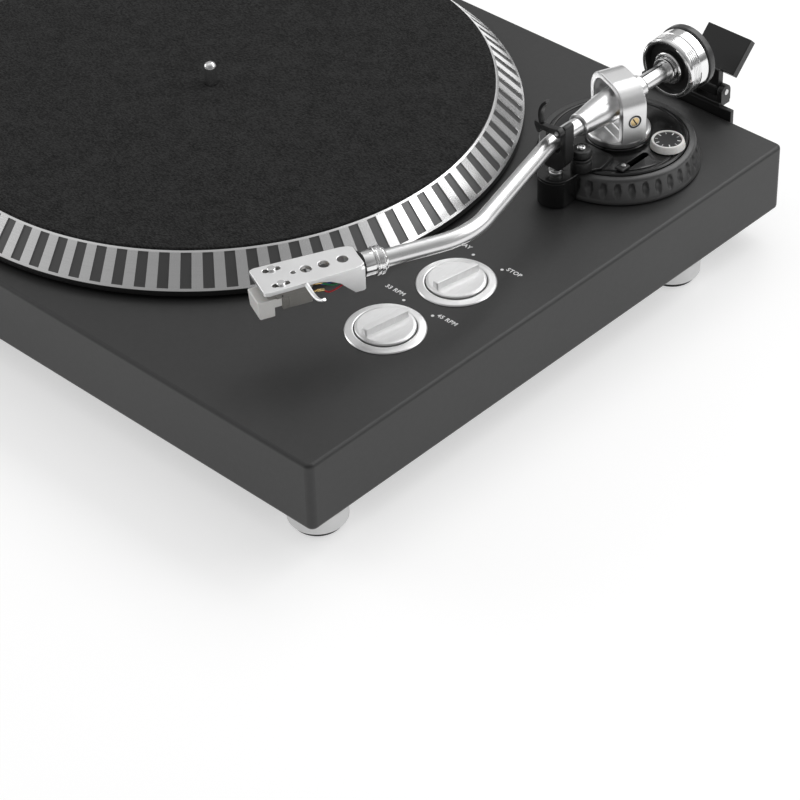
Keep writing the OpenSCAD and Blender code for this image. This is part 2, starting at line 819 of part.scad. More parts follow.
module counterweight() {
    color("#dfe0e1") deck() at_tube() rotate([-90, 0, 0]) rotate_extrude($fn = 120) polygon([
        [5.6 + run_gap, weight_y[0] - 1], [9, weight_y[0] - 1], [9.4, weight_y[0] + 2.5],
        [13.6, weight_y[0] + 2.5], [14.6, weight_y[0] - 1.4], [15.8, weight_y[0] - 1.4],
        [weight_r, weight_y[0] - 0.4], [weight_r, weight_y[1]], [9, weight_y[1]],
        [9, weight_y[1] + 4.8], [5.6 + run_gap, weight_y[1] + 4.8]
    ]);
}

module force_dial() {
    color("#1d1d1e") deck() at_tube() difference() {
        bar_y(weight_r + 0.7, weight_y[1] + 0.3, weight_y[1] + 4.5);
        bar_y(9 + run_gap, weight_y[1] - 1, weight_y[1] + 6);
    }
}

// Moves to a hinge's pin, in the middle of the hinge
module at_hinge(side) {
    translate([case_x + side * hinge_x, hinge_pin_y, hinge_pin_z]) children();
}

module hinge_brackets() {
    color("#1c1c1d") deck() difference() {
        for (side = [-1, 1]) at_hinge(side) {
            translate([side < 0 ? -rail_x[1] : rail_x[0], -5.5, -19]) cube([rail_x[1] - rail_x[0], 3, 12.4]);
            translate([-14.5, -5.5, -8]) cube([24, 9.5, 3.2]);
            for (x = [-9.6, 6.4]) {
                translate([x, -4, -5 - eps]) cube([3.2, 8, 5]);
                bar_x(4, x, x + 3.2);
            }
        }
        for (side = [-1, 1]) at_hinge(side) bar_x(1.6, -12, 12);
        hinge_screw_places() bar_y(screw_r, -1, 4);
    }
}

// A leaf with its barrel on the pin and a socket for the lid's tab
module hinge_leaf(side) {
    color("#232324") deck() at_hinge(side) difference() {
        union() {
            bar_x(3.6, -6.1, 6.1);
            translate([-6.1, -2.6, 0]) cube([12.2, 4.4, leaf_foot.y + 2]);
            translate([0, leaf_foot.x, leaf_foot.y]) rotate([-leaf_lean, 0, 0])
                translate([-leaf_w / 2, -leaf_t / 2, 0]) cube([leaf_w, leaf_t, leaf_l]);
        }
        bar_x(1.6 + run_gap, -12, 12);
        translate([0, leaf_foot.x, leaf_foot.y]) rotate([-leaf_lean, 0, 0])
            translate([-leaf_w / 2 + 3, -1.1, 6]) cube([leaf_w - 6, 2.2, leaf_l]);
    }
}
module right_hinge_leaf() { hinge_leaf(1); }
module left_hinge_leaf() { hinge_leaf(-1); }

module hinge_pins() {
    color("silver") deck() for (side = [-1, 1]) at_hinge(side) bar_x(1.6, -10, 10);
}

plinth();
base_plate();
case_screws();
front_left_foot();
front_right_foot();
rear_left_foot();
rear_right_foot();
foot_pads();
foot_bolts();
bearing_housing();
chassis_screws();
thrust_ball();
platter_shaft();
platter();
slipmat();
drive_belt();
motor();
motor_pulley();
main_board();
dc_inlet();
phono_sockets();
ground_terminal();
signal_lead();
rotary_switches();
knob_rings();
speed_knob();
play_knob();
arm_collar();
height_ring();
arm_base();
arm_bearings();
antiskate_dial();
cue_slider();
lift_cylinder();
lift_platform();
rest_bracket();
rest_post();
rest_cradle();
rest_clip();
arm_turret();
yoke();
pivot_screws();
arm_barrel();
arm_tube();
lock_collar();
shell_washer();
headshell();
finger_lift();
cartridge();
stylus();
headshell_leads();
headshell_screws();
rear_shaft();
weight_core();
counterweight();
force_dial();
hinge_brackets();
right_hinge_leaf();
left_hinge_leaf();
hinge_pins();
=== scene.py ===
# %% [markdown]
# A record player: a black plinth on silver feet, a heavy platter with a barred bevel,
# a felt mat and an S-shaped tonearm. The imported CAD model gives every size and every
# moving body. Each step below makes one piece or one finish in that same frame.

# %% Load the frame
import bpy, bmesh, math
from mathutils import Matrix, Vector


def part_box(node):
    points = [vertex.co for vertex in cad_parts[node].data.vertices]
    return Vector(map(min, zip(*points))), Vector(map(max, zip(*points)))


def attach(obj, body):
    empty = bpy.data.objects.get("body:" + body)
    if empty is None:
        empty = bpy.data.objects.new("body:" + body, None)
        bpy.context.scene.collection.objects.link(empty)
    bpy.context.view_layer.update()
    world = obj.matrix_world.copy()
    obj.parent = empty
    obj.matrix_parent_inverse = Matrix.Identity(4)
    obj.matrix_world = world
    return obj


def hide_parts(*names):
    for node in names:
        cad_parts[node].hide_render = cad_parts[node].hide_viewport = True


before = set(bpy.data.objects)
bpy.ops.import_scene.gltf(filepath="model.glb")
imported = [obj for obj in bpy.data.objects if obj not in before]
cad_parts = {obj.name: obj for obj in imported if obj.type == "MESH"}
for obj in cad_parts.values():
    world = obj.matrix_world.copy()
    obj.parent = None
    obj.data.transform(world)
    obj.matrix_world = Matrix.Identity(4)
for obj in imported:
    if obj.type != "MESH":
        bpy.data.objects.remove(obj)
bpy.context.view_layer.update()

# %% [markdown]
# Turned and bent pieces are easiest in millimetres, each in the frame of the thing that
# it belongs to. Four frames cover them all: the deck, with the spindle's axis at the
# plinth's top, the arm's upright axis, the tube's level axis and the headshell.

# %% Frames in millimetres
MM = 0.001


def middle(node):
    low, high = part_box(node)
    return (Vector(low) + Vector(high)) / 2


def turn(degrees, axis="Z"):
    return Matrix.Rotation(math.radians(degrees), 4, axis)


def shift(x=0.0, y=0.0, z=0.0):
    return Matrix.Translation((x, y, z))


deck_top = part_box("plinth")[1][2]
spindle = middle("platter_shaft")
DECK = shift(spindle.x, spindle.y, deck_top) @ Matrix.Diagonal((MM, MM, MM, 1))


def on_deck(node):
    return DECK.inverted() @ middle(node)


arm_axis = on_deck("arm_turret")
ARM = DECK @ shift(arm_axis.x, arm_axis.y)
ARM_Z = 36.5
TUBE = ARM @ shift(z=ARM_Z)
SKEW = -21.5
YOKE = ARM @ turn(SKEW)
SHELL_TURN = -23.5
washer = on_deck("shell_washer")
SHELL = DECK @ shift(washer.x, washer.y, ARM_Z) @ turn(SHELL_TURN) @ shift(y=-0.45)
print("spindle", spindle, "arm axis on the deck", arm_axis.xy, "headshell", washer.xy)

# %% [markdown]
# The camera looks down at the front right corner from about a metre and a third, through
# a long lens, and is rolled by two degrees. Azimuth turns it round the upright axis.

# %% Camera
azimuth, elevation, roll = (math.radians(a) for a in (44.554, 38.496, -1.924))
back = Vector(
    (
        math.sin(azimuth) * math.cos(elevation), -math.cos(azimuth) * math.cos(elevation),
        math.sin(elevation)
    )
)
right = Vector((math.cos(azimuth), math.sin(azimuth), 0))
up = back.cross(right)
right, up = (
    right * math.cos(roll) + up * math.sin(roll),
    up * math.cos(roll) - right * math.sin(roll),
)
target = DECK @ Vector((242.4, -112.5, 0))
distance = 1.3553
camera = bpy.data.objects.new("camera", bpy.data.cameras.new("camera"))
bpy.context.scene.collection.objects.link(camera)
rows = [(right[i], up[i], back[i], (target + back * distance)[i]) for i in range(3)]
camera.matrix_world = Matrix(rows + [(0, 0, 0, 1)])
camera.data.lens = 130.53
camera.data.shift_x = 0.0013
camera.data.clip_start = 0.05
camera.data.clip_end = 50
bpy.context.scene.camera = camera
print("camera at", camera.matrix_world.translation)

# %% [markdown]
# Finishes are small node trees. To write their sums as plain Python, one class wraps a
# socket and turns +, * and > into Math nodes, and another holds the tree, adds any other
# node, and sets the constants on the main shader itself.


# %% Node writing
class Number:
    def __init__(self, sheet, socket):
        self.sheet, self.socket = sheet, socket

    def math(self, operation, *others):
        node = self.sheet.tree.nodes.new("ShaderNodeMath")
        node.operation = operation
        for slot, value in zip(node.inputs, (self,) + others):
            self.sheet.feed(slot, value)
        return Number(self.sheet, node.outputs[0])

    def __add__(self, other):
        return self.math("ADD", other)

    def __mul__(self, other):
        return self.math("MULTIPLY", other)

    def __gt__(self, other):
        return self.math("GREATER_THAN", other)

    __radd__, __rmul__ = __add__, __mul__


class Finish:
    def __init__(self, name, **constants):
        self.material = bpy.data.materials.new(name)
        self.material.use_nodes = True
        self.tree = self.material.node_tree
        self.shader = self.tree.nodes["Principled BSDF"]
        self.place = self.node("TexCoord").outputs["Object"]
        self.set(**constants)

    def feed(self, slot, value):
        if isinstance(value, Number):
            value = value.socket
        if isinstance(value, bpy.types.NodeSocket):
            self.tree.links.new(value, slot)
        elif slot.type == "RGBA":
            slot.default_value = (*value, 1) if len(value) == 3 else value
        else:
            slot.default_value = value

    def node(self, kind, settings=None, ramp=None, **inputs):
        node = self.tree.nodes.new("ShaderNode" + kind)
        for key, value in (settings or {}).items():
            setattr(node, key, value)
        for position, level in ramp or []:
            stop = node.color_ramp.elements[0 if position == 0 else -1]
            if 0 < position < 1:
                stop = node.color_ramp.elements.new(position)
            stop.position, stop.color = position, (level, level, level, 1)
        for key, value in inputs.items():
            self.feed(node.inputs[key.replace("_", " ")], value)
        return node

    def set(self, **sockets):
        for key, value in sockets.items():
            self.feed(self.shader.inputs[key.replace("_", " ")], value)
        return self

    def noise(self, scale, detail=3.0, stretch=(1, 1, 1), rough=0.5):
        spread = self.node("Mapping", Vector=self.place, Scale=stretch)
        return Number(self, self.node(
            "TexNoise", Vector=spread.outputs[0], Scale=scale, Detail=detail, Roughness=rough
        ).outputs["Fac"])

    def mix(self, factor, first, second):
        node = self.tree.nodes.new("ShaderNodeMix")
        node.data_type = "RGBA"
        for slot, value in zip(
            (node.inputs[0], node.inputs[6], node.inputs[7]), (factor, first, second)
        ):
            self.feed(slot, value)
        return node.outputs[2]

    def bump(self, height, depth, strength=1.0):
        node = self.node("Bump", Strength=strength, Distance=depth, Height=height)
        return self.set(Normal=node.outputs[0])

    def about(self, centre, axis="Z"):
        """Radius from an axis through centre, and the angle round it, as two numbers."""
        moved = self.node("VectorMath", {"operation": "SUBTRACT"})
        self.feed(moved.inputs[0], self.place)
        self.feed(moved.inputs[1], tuple(centre))
        parts = self.node("SeparateXYZ", Vector=moved.outputs[0])
        pair = {"Z": (0, 1), "Y": (0, 2)}[axis]
        a, b = (Number(self, parts.outputs[i]) for i in pair)
        return (a * a + b * b).math("SQRT"), b.math("ARCTAN2", a)


def shade(level):
    return (level, level, level)


print("node writing ready")

# %% [markdown]
# The plinth is fibreboard under a satin black film. A satin film is never even: it has a
# very fine grain in its height, and its gloss drifts slowly from place to place.

# %% Black finishes
satin = Finish("satin_black_film")
grain = satin.noise(1600, 2)
drift = satin.noise(9, 2)
satin.set(Roughness=grain * 0.08 + drift * 0.10 + 0.36)
satin.set(Base_Color=satin.mix(satin.noise(420, 4), shade(0.020), shade(0.030)))
satin.bump(grain, 0.00002, 0.35)


def black_moulding(name, level, gloss, grain_size=2400, depth=0.00003):
    """A moulded black plastic: a dark colour, a fine even grain and faint rubbed patches."""
    finish = Finish(name)
    fine = finish.noise(grain_size, 2)
    patch = finish.noise(60, 3)
    finish.set(Base_Color=finish.mix(patch, shade(level * 0.8), shade(level * 1.3)))
    finish.set(Roughness=fine * 0.08 + patch * 0.08 + gloss)
    return finish.bump(fine, depth, 0.3)


moulding = black_moulding("black_moulding", 0.012, 0.30)
gloss_moulding = black_moulding("semi_gloss_moulding", 0.009, 0.14, 1500, 0.00001)
ring_moulding = black_moulding("ring_moulding", 0.055, 0.22, 1500, 0.00001)
rubber = black_moulding("black_rubber", 0.010, 0.62, 900, 0.00006)
steel_paint = black_moulding("black_paint", 0.016, 0.40, 700, 0.00004)
print("black finishes made")

# %% [markdown]
# Felt is a mat of short fibres pressed flat. Up close it is a tangle of pale and dark
# flecks, and further off it has soft blotches. Two noises give both, a stretched third
# one lays the fibres, and sheen gives the pale bloom that cloth has at low angles.

# %% Felt
felt = Finish(
    "black_felt", Roughness=0.95, Sheen_Weight=0.07, Sheen_Roughness=0.5, Specular_IOR_Level=0.1
)
fleck = felt.noise(1500, 5, rough=0.7)
fibre = felt.noise(620, 3, stretch=(1, 2.4, 1), rough=0.6)
blotch = felt.noise(110, 4, rough=0.6)
tangle = fleck * 0.30 + fibre * 0.55 + blotch * 0.15
tone = felt.node("ValToRGB", ramp=[(0, 0.0), (0.43, 0.05), (0.57, 0.85), (1, 1.0)], Fac=tangle)
felt.set(Base_Color=felt.mix(tone.outputs[0], shade(0.003), shade(0.040)))
felt.bump(tangle, 0.0009, 1.0)
print("felt made")

# %% [markdown]
# Metals differ in how they were worked. Turned faces carry fine rings about their axis,
# the painted arm has a soft even satin, and plated pieces are nearly a mirror with
# faint smudges. Rings come from a noise that reads the radius closely
# and the angle hardly at all.


# %% Metals
def turned(name, centre, level, gloss, lines=5200, axis="Z", depth=0.00002, strength=0.35):
    """A lathe-turned metal with fine rings about an axis through centre."""
    finish = Finish(name, Metallic=1.0)
    radius, angle = finish.about(centre, axis)
    where = finish.node("CombineXYZ", X=radius * lines, Y=angle * 0.35)
    ring = Number(
        finish,
        finish.node("TexNoise", Vector=where.outputs[0], Scale=1.0, Detail=3.0).outputs["Fac"]
    )
    patch = finish.noise(45, 3)
    finish.set(Base_Color=finish.mix(ring, shade(level * 0.90), shade(min(1.0, level * 1.06))))
    finish.set(Roughness=ring * 0.12 + patch * 0.06 + (gloss - 0.06))
    return finish.bump(ring, depth, strength)


def satin_metal(name, level, gloss, grain_size=2600, depth=0.00002, metal=1.0):
    """An even satin metal, blasted or painted, with a fine grain and faint cloudy wear."""
    finish = Finish(name, Metallic=metal)
    fine = finish.noise(grain_size, 2)
    cloud = finish.noise(70, 3)
    finish.set(Base_Color=finish.mix(cloud, shade(level * 0.95), shade(min(1.0, level * 1.04))))
    finish.set(Roughness=fine * 0.10 + cloud * 0.08 + (gloss - 0.09))
    return finish.bump(fine, depth, 0.3)


spindle_world = tuple(DECK @ Vector((0, 0, 0)))
land = turned("turned_platter_metal", spindle_world, 0.94, 0.20)
spindle_steel = turned("spindle_steel", spindle_world, 0.82, 0.10)
arm_silver = satin_metal("arm_silver", 0.80, 0.30)
shell_silver = satin_metal("headshell_silver", 0.92, 0.38)
foot_silver = satin_metal("foot_silver", 0.70, 0.40, metal=0.5)
zinc = satin_metal("zinc_plate", 0.66, 0.32)
chrome = satin_metal("chrome_plate", 0.88, 0.14, 500, 0.0000004)
weight_chrome = turned(
    "weight_chrome", tuple(TUBE @ Vector((0, 0, 0))), 0.86, 0.11, 3000, "Y", depth=0.000002,
    strength=0.1
)
black_bar = satin_metal("sunk_bar_metal", 0.13, 0.34, metal=0.7)
# The platter's skirt below its rim is coloured near black.
dark_skirt = black_moulding("dark_skirt", 0.016, 0.30)
print("metals made")

# %% [markdown]
# The rest is plastic, print, brass and gold. Each drifts between two close tones, and
# has a fine grain in its gloss. The circuit board has patches of copper under its green.


# %% Small finishes
def two_tone(name, first, second, patch, gloss, spread, grain_size=900, **constants):
    """A finish that drifts between two tones, with a fine grain in its gloss."""
    finish = Finish(name, **constants)
    finish.set(Base_Color=finish.mix(patch(finish), first, second))
    return finish.set(Roughness=finish.noise(grain_size) * spread + gloss)


def cloud(scale, detail=3):
    """A patch pattern for two_tone."""
    return lambda finish: finish.noise(scale, detail)


brass = two_tone(
    "turned_brass", (0.58, 0.42, 0.20), (0.78, 0.62, 0.36), cloud(300), 0.18, 0.2, Metallic=1.0)
white_print = two_tone("white_print", shade(0.78), shade(0.92), cloud(1800, 2), 0.4, 0.2)
white_moulding = two_tone(
    "white_moulding", (0.82, 0.81, 0.79), (0.90, 0.89, 0.87), cloud(90), 0.26, 0.12, 1500,
    Subsurface_Weight=0.04, Subsurface_Scale=0.001)
grey_moulding = two_tone(
    "grey_moulding", (0.24, 0.235, 0.22), (0.32, 0.31, 0.29), cloud(200), 0.32, 0.12, 1500,
    Metallic=0.25)
gold = two_tone(
    "gold_plate", (0.80, 0.58, 0.24), (0.92, 0.72, 0.38), cloud(400), 0.14, 0.15, Metallic=1.0)
board_green = two_tone(
    "solder_mask", (0.01, 0.10, 0.03), (0.02, 0.16, 0.06),
    lambda finish: finish.noise(260, 5) > 0.52, 0.3, 0.2, Coat_Weight=0.4)


def lead_finish(name, colour):
    return two_tone(name, [c * 0.8 for c in colour], colour, cloud(700), 0.35, 0.2)


lead_finishes = [
    lead_finish(n + "_lead", c) for n,
    c in (
        ("white", (0.8, 0.8, 0.78)), ("blue", (0.03, 0.10, 0.45)), ("green", (0.02, 0.30, 0.10)),
        ("red", (0.65, 0.02, 0.03))
    )
]
print("small finishes made")

# %% [markdown]
# Four ways of shaping cover nearly every piece. A lathe spins a profile, with its corners
# rounded first. A block is a cube with bevelled edges. A plate is a flat outline with
# holes, drawn as a curve so that holes stay round, and then made a mesh. A pipe carries a
# circle along straights and bends. Every shape is laid into the deck's frame at the end.


# %% Shape helpers
def piece(bm, name, body, finishes, lay, nodes=(), sharp=32.0, flip=True):
    """Lays a bmesh in place, makes it an object, and ties it to its CAD body. Flat faces
    stay flat beside their rounded edges."""
    bmesh.ops.remove_doubles(bm, verts=bm.verts, dist=0.0005)
    bmesh.ops.transform(bm, matrix=lay, verts=bm.verts)
    if flip:
        bmesh.ops.recalc_face_normals(bm, faces=bm.faces)
    for face in bm.faces:
        face.smooth = True
    for edge in bm.edges:
        areas = sorted(face.calc_area() / MM**2 for face in edge.link_faces)
        beside_flat = len(areas) == 2 and areas[1] > 4 and areas[1] > 6 * areas[0]
        edge.smooth = not beside_flat and edge.calc_face_angle(math.pi) < math.radians(sharp)
    mesh = bpy.data.meshes.new(name)
    bm.to_mesh(mesh)
    bm.free()
    for finish in finishes if isinstance(finishes, (list, tuple)) else [finishes]:
        mesh.materials.append(finish.material)
    made = bpy.data.objects.new(name, mesh)
    bpy.context.scene.collection.objects.link(made)
    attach(made, body)
    if nodes:
        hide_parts(*nodes)
    print(name, len(mesh.polygons), "faces on", body)
    return made


def lathe(profile, steps=96, soften=0.0, closed=False, into=None):
    """Spins (radius, height) points about Z, rounding the corners by soften."""
    bm = into or bmesh.new()
    points = [bm.verts.new((r, 0, z)) for r, z in profile]
    ends = list(zip(points, points[1:])) + ([(points[-1], points[0])] if closed else [])
    edges = [bm.edges.new(pair) for pair in ends]
    if soften:
        corners = points if closed else points[1:-1]
        made = bmesh.ops.bevel(
            bm, geom=corners, offset=soften, segments=3, profile=0.5, affect="VERTICES", material=-1
        )
        points = list({v for v in points + made["verts"] if v.is_valid})
        edges = list({e for v in points for e in v.link_edges})
    bmesh.ops.spin(
        bm, geom=points + edges, cent=(0, 0, 0), axis=(0, 0, 1), angle=math.tau, steps=steps,
        use_merge=True
    )
    bmesh.ops.remove_doubles(bm, verts=bm.verts, dist=0.0005)
    return bm


def block(low, high, soften=0.3, segments=3, into=None):
    """A box between two corners with bevelled edges."""
    bm = into or bmesh.new()
    low, high = Vector(low), Vector(high)
    size = high - low
    made = bmesh.ops.create_cube(
        bm, size=1.0, matrix=Matrix.Translation((low + high) / 2) @ Matrix.Diagonal((*size, 1))
    )
    edges = list({e for v in made["verts"] for e in v.link_edges})
    if soften:
        bmesh.ops.bevel(
            bm, geom=edges, offset=soften, segments=segments, profile=0.5, affect="EDGES",
            material=-1, clamp_overlap=True
        )
    return bm


def place_of(face):
    """A face's middle: its radius from Z, its angle round Z in degrees, and its height."""
    spot = face.calc_center_median()
    return math.hypot(spot.x, spot.y), math.degrees(math.atan2(spot.y, spot.x)), spot.z


def rib_faces(bm, low, high, least, pitch):
    """Every other column of a spin's faces, between two heights and outside a radius."""
    found = []
    for face in bm.faces:
        radius, angle, height = place_of(face)
        if low < height < high and radius > least and int(angle // pitch) % 2:
            found.append(face)
    return found


def arc(x, y, r, start=0.0, sweep=360.0, steps=24):
    """Points along an arc, closed up to but not including its first point for a circle."""
    last = steps if abs(sweep) >= 360 else steps + 1
    angles = [math.radians(start + sweep * i / steps) for i in range(last)]
    return [(x + r * math.cos(a), y + r * math.sin(a)) for a in angles]


def slit(x, y, r, half):
    """A slot's outline along Y: two half circles joined."""
    return arc(x, y + half, r, 0, 180, 8) + arc(x, y - half, r, 180, 180, 8)


def plate(outline, holes, low, high, soften=0.2, into=None):
    """A flat plate with holes, between two heights, with its edges rounded."""
    curve = bpy.data.curves.new("outline", "CURVE")
    curve.dimensions, curve.fill_mode = "2D", "BOTH"
    for ring in [outline] + list(holes):
        line = curve.splines.new("POLY")
        line.points.add(len(ring) - 1)
        for point, (x, y) in zip(line.points, ring):
            point.co = (x, y, 0, 1)
        line.use_cyclic_u = True
    curve.extrude = (high - low) / 2 - soften
    curve.bevel_depth, curve.bevel_resolution, curve.offset = soften, 2, -soften
    return drawn(curve, shift(z=(low + high) / 2), into)


def drawn(curve, lay, into=None):
    """Turns a curve or a text into a mesh and adds it to a bmesh."""
    holder = bpy.data.objects.new("drawn", curve)
    bpy.context.scene.collection.objects.link(holder)
    graph = bpy.context.evaluated_depsgraph_get()
    mesh = bpy.data.meshes.new_from_object(holder.evaluated_get(graph))
    bpy.data.objects.remove(holder)
    mesh.transform(lay)
    bm = into or bmesh.new()
    bm.from_mesh(mesh)
    bpy.data.meshes.remove(mesh)
    return bm


def add(bm, other, lay):
    """Adds one bmesh to another, laid in place."""
    other.transform(lay)
    holder = bpy.data.meshes.new("added")
    other.to_mesh(holder)
    other.free()
    bm.from_mesh(holder)
    bpy.data.meshes.remove(holder)


def pipe(points, r, sides=16, into=None):
    """A round rod through points, its sections kept square to the path."""
    bm = into or bmesh.new()
    points = [Vector(p) for p in points]
    loops = []
    for i, point in enumerate(points):
        along = (points[min(i + 1, len(points) - 1)] - points[max(i - 1, 0)]).normalized()
        facing = along.to_track_quat("Z", "Y").to_matrix().to_4x4()
        width = r[i] if isinstance(r, (list, tuple)) else r
        ring = bmesh.ops.create_circle(
            bm, segments=sides, radius=width, matrix=Matrix.Translation(point) @ facing
        )
        loops.append(list({e for v in ring["verts"] for e in v.link_edges}))
    for first, second in zip(loops, loops[1:]):
        bmesh.ops.bridge_loops(bm, edges=first + second)
    bmesh.ops.holes_fill(bm, edges=loops[0] + loops[-1], sides=sides)
    return bm


def curved(points, steps=8):
    """More points on a smooth line through a few, for leads and wires."""
    points = [Vector(p) for p in points]
    made = []
    for i in range(len(points) - 1):
        a, b = points[i], points[i + 1]
        before, after = points[max(i - 1, 0)], points[min(i + 2, len(points) - 1)]
        for k in range(steps):
            t = k / steps
            m, n = (b - before) / 2, (after - a) / 2
            made.append(
                (
                    2 * t**3 - 3 * t**2 + 1
                ) * a + (t**3 - 2 * t**2 + t) * m + (3 * t**2 - 2 * t**3) * b + (t**3 - t**2) * n
            )
    return made + [points[-1]]


print("shape helpers ready")

# %% [markdown]
# The plinth is a box with one open side. Its upright corners are rounder than its long
# edges, so they are bevelled first, and the wall's thickness comes last.

# %% Plinth
WALL, WELL = 7.4, 33
low, high = (DECK.inverted() @ Vector(corner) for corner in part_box("plinth"))
bm = block(low, high, soften=0)
upright = [e for e in bm.edges if abs(e.verts[0].co.z - e.verts[1].co.z) > 1]
bmesh.ops.bevel(bm, geom=upright, offset=3.6, segments=6, profile=0.5, affect="EDGES", material=-1)
rims = [e for e in bm.edges if abs(e.verts[0].co.z - e.verts[1].co.z) < 0.01]
bmesh.ops.bevel(bm, geom=rims, offset=1.9, segments=5, profile=0.5, affect="EDGES", material=-1)
bottom = [f for f in bm.faces if f.normal.z < -0.9 and f.calc_area() > 1000]
bmesh.ops.inset_region(bm, faces=bottom, thickness=WALL, depth=0.0)
well = bmesh.ops.extrude_face_region(bm, geom=bottom)
raised = [v for v in well["geom"] if isinstance(v, bmesh.types.BMVert)]
bmesh.ops.translate(bm, vec=(0, 0, WELL), verts=raised)
bmesh.ops.delete(bm, geom=[f for f in bottom if f.is_valid], context="FACES_ONLY")
piece(bm, "plinth_shell", "case", satin, DECK, ["plinth"])

# %% [markdown]
# Feet are turned aluminium cups, painted silver, with a rubber pad let into each one.

# %% Feet
FEET = ("front_left_foot", "front_right_foot", "rear_left_foot", "rear_right_foot")
for node in FEET:
    at = on_deck(node)
    base = low.z - 14
    bm = lathe([
        (0, base + 0.4), (11.8, base + 0.4), (12.2, base), (14.2, base), (15, base + 1.2),
        (15, low.z - 4), (14.6, low.z - 3.6), (14.6, low.z - 2.6), (15, low.z - 2.2),
        (15, low.z - 0.7), (14.3, low.z), (0, low.z)
    ], 72, 0.25)
    piece(bm, node + "_cup", "case", foot_silver, DECK @ shift(at.x, at.y), [node])
bm = bmesh.new()
for node in FEET:
    at = on_deck(node)
    pad = lathe([
        (0, -56), (4, -56), (4.6, -55.5), (5.8, -55.5), (6.4, -56), (11.9, -56), (12.6, -55.2),
        (12.8, -53), (0, -53)
    ], 64, 0.15)
    add(bm, pad, shift(at.x, at.y))
piece(bm, "foot_pad_set", "case", rubber, DECK, ["foot_pads"])

# %% [markdown]
# The platter's bevel carries ninety sunk bars. One spin with four steps to a bar and its
# gap makes the whole ring, then every other pair of faces is inset and pushed in.

# %% Platter
BARS = 90
BAR_START = 1.44
bm = lathe([
    (4.1, 8), (20, 8), (20, 14.6), (67, 14.6), (67, 4.5), (72, 4.5), (72, 14.6), (150, 14.6),
    (160, 6), (160, 1.6), (165.5, 1.6), (166, 2.2), (166, 4.8), (165.95, 5.0), (165.0, 5.95),
    (152.4, 18.6), (151.9, 19.0), (151.5, 19.28), (4.1, 19.28)
], BARS * 4, closed=True)
bmesh.ops.rotate(
    bm, cent=(0, 0, 0), matrix=Matrix.Rotation(math.radians(-BAR_START), 3, "Z"), verts=bm.verts
)
bmesh.ops.recalc_face_normals(bm, faces=bm.faces)


def bar_step(face):
    """Which of the four steps of a bar and its gap a face lies in, or none off the bevel."""
    radius, angle, height = place_of(face)
    if not (153.2 < radius < 164.2 and 6 < height < 18.4):
        return None
    return int((angle + BAR_START) % 4)


sunk = [f for f in bm.faces if bar_step(f) in (0, 1) and f.normal.z > 0.3]
bmesh.ops.inset_region(bm, faces=sunk, thickness=0.14, depth=-0.6, use_even_offset=True)
for face in sunk:
    face.material_index = 1
# Faces low on the outer rim, the skirt under the barred bevel, are coloured near black.
for face in bm.faces:
    radius, _, height = place_of(face)
    if radius > 159 and height < 5.0:
        face.material_index = 2
piece(
    bm, "platter_casting", "platter_body", [land, black_bar, dark_skirt], DECK,
    ["platter"], sharp=18
)

# %% [markdown]
# The mat is a cut disc of felt. Its edges are soft, so the first and the last ring of
# faces turn down. Its fibres and flecks are in its finish.

# %% Slipmat
mat_low, mat_high = (DECK.inverted() @ Vector(corner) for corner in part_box("slipmat"))
mat_r = mat_high.x
mat_foot, mat_top = mat_low.z + 0.02, mat_high.z - 0.05
bm = lathe([
    (3.75, mat_foot), (3.75, mat_high.z - 0.25), (4.3, mat_top), (30, mat_top), (75, mat_top),
    (120, mat_top), (mat_r - 0.8, mat_top), (mat_r - 0.15, mat_high.z - 0.3),
    (mat_r - 0.15, mat_foot),
], 180, closed=True)
mat = piece(bm, "felt_mat", "platter_body", felt, DECK, ["slipmat"], sharp=60)

# %% [markdown]
# The spindle is turned steel with a rounded tip. Its flange carries the platter, and it
# narrows inside the mat's hole to the size of a record's.

# %% Spindle
tip = (DECK.inverted() @ Vector(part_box("platter_shaft")[1])).z
bm = lathe([
    (0, -27), (4, -27), (4, 5), (15, 5), (15, 8), (4, 8), (4, mat_low.z - 0.05),
    (3.6, mat_low.z - 0.05), (3.6, mat_high.z + 1.0), (3.55, tip - 3.2), (3.3, tip - 1.9),
    (2.6, tip - 0.9), (1.5, tip - 0.25), (0, tip)
], 64)
piece(bm, "centre_spindle", "platter_body", spindle_steel, DECK, ["platter_shaft"])

# %% [markdown]
# Each control is a fixed ring with a brushed disc in it, and a straight grip across the
# disc, along the brushing. The grip is a block with rounded edges, pinched a little
# towards its top.

# %% Knobs
knob_places = {}
for node in ("speed_knob", "play_knob"):
    at = on_deck(node)
    knob_places[node] = at
    spun = Finish(node + "_brushed_face", Metallic=1.0)
    line = spun.noise(6500, 3, stretch=(1, 0.03, 0.03))
    spun.set(Base_Color=spun.mix(line, shade(0.80), shade(0.99)), Roughness=line * 0.14 + 0.30)
    spun.bump(line, 0.00004, 0.5)
    bm = lathe([
        (0, 0.7), (14.9, 0.7), (15.2, 1.0), (15.2, 2.1), (14.9, 2.45), (13.7, 2.75), (0, 2.75)
    ], 96, 0.12)
    grip = block((-2.0, -13.1, 2.0), (2.0, 13.1, 6.3), 0.55, 3, into=bm)
    for vert in grip.verts:
        if vert.co.z > 3.2:
            vert.co.x *= 0.86
            vert.co.y *= 0.985
    lay = DECK @ shift(at.x, at.y) @ turn(-10)
    piece(bm, node + "_cap", node + "_body", spun, lay, [node])
bm = bmesh.new()
ring_profile = [(15.75, 0.0), (20.2, 0.0), (20.25, 0.35), (19.7, 0.9), (16.4, 1.38), (15.75, 1.3)]
for at in knob_places.values():
    add(bm, lathe(ring_profile, 96, 0.1, closed=True), shift(at.x, at.y))
piece(
    bm, "knob_ring_pair", "case", satin_metal("knob_ring_silver", 0.90, 0.34), DECK,
    ["knob_rings"]
)

# %% [markdown]
# The legends are plain words and dots, screen-printed in white. Built-in text gives the
# letters, and the dots are thin discs. They sit a hair proud of the plinth, as ink does.

# %% Legends
bm = bmesh.new()


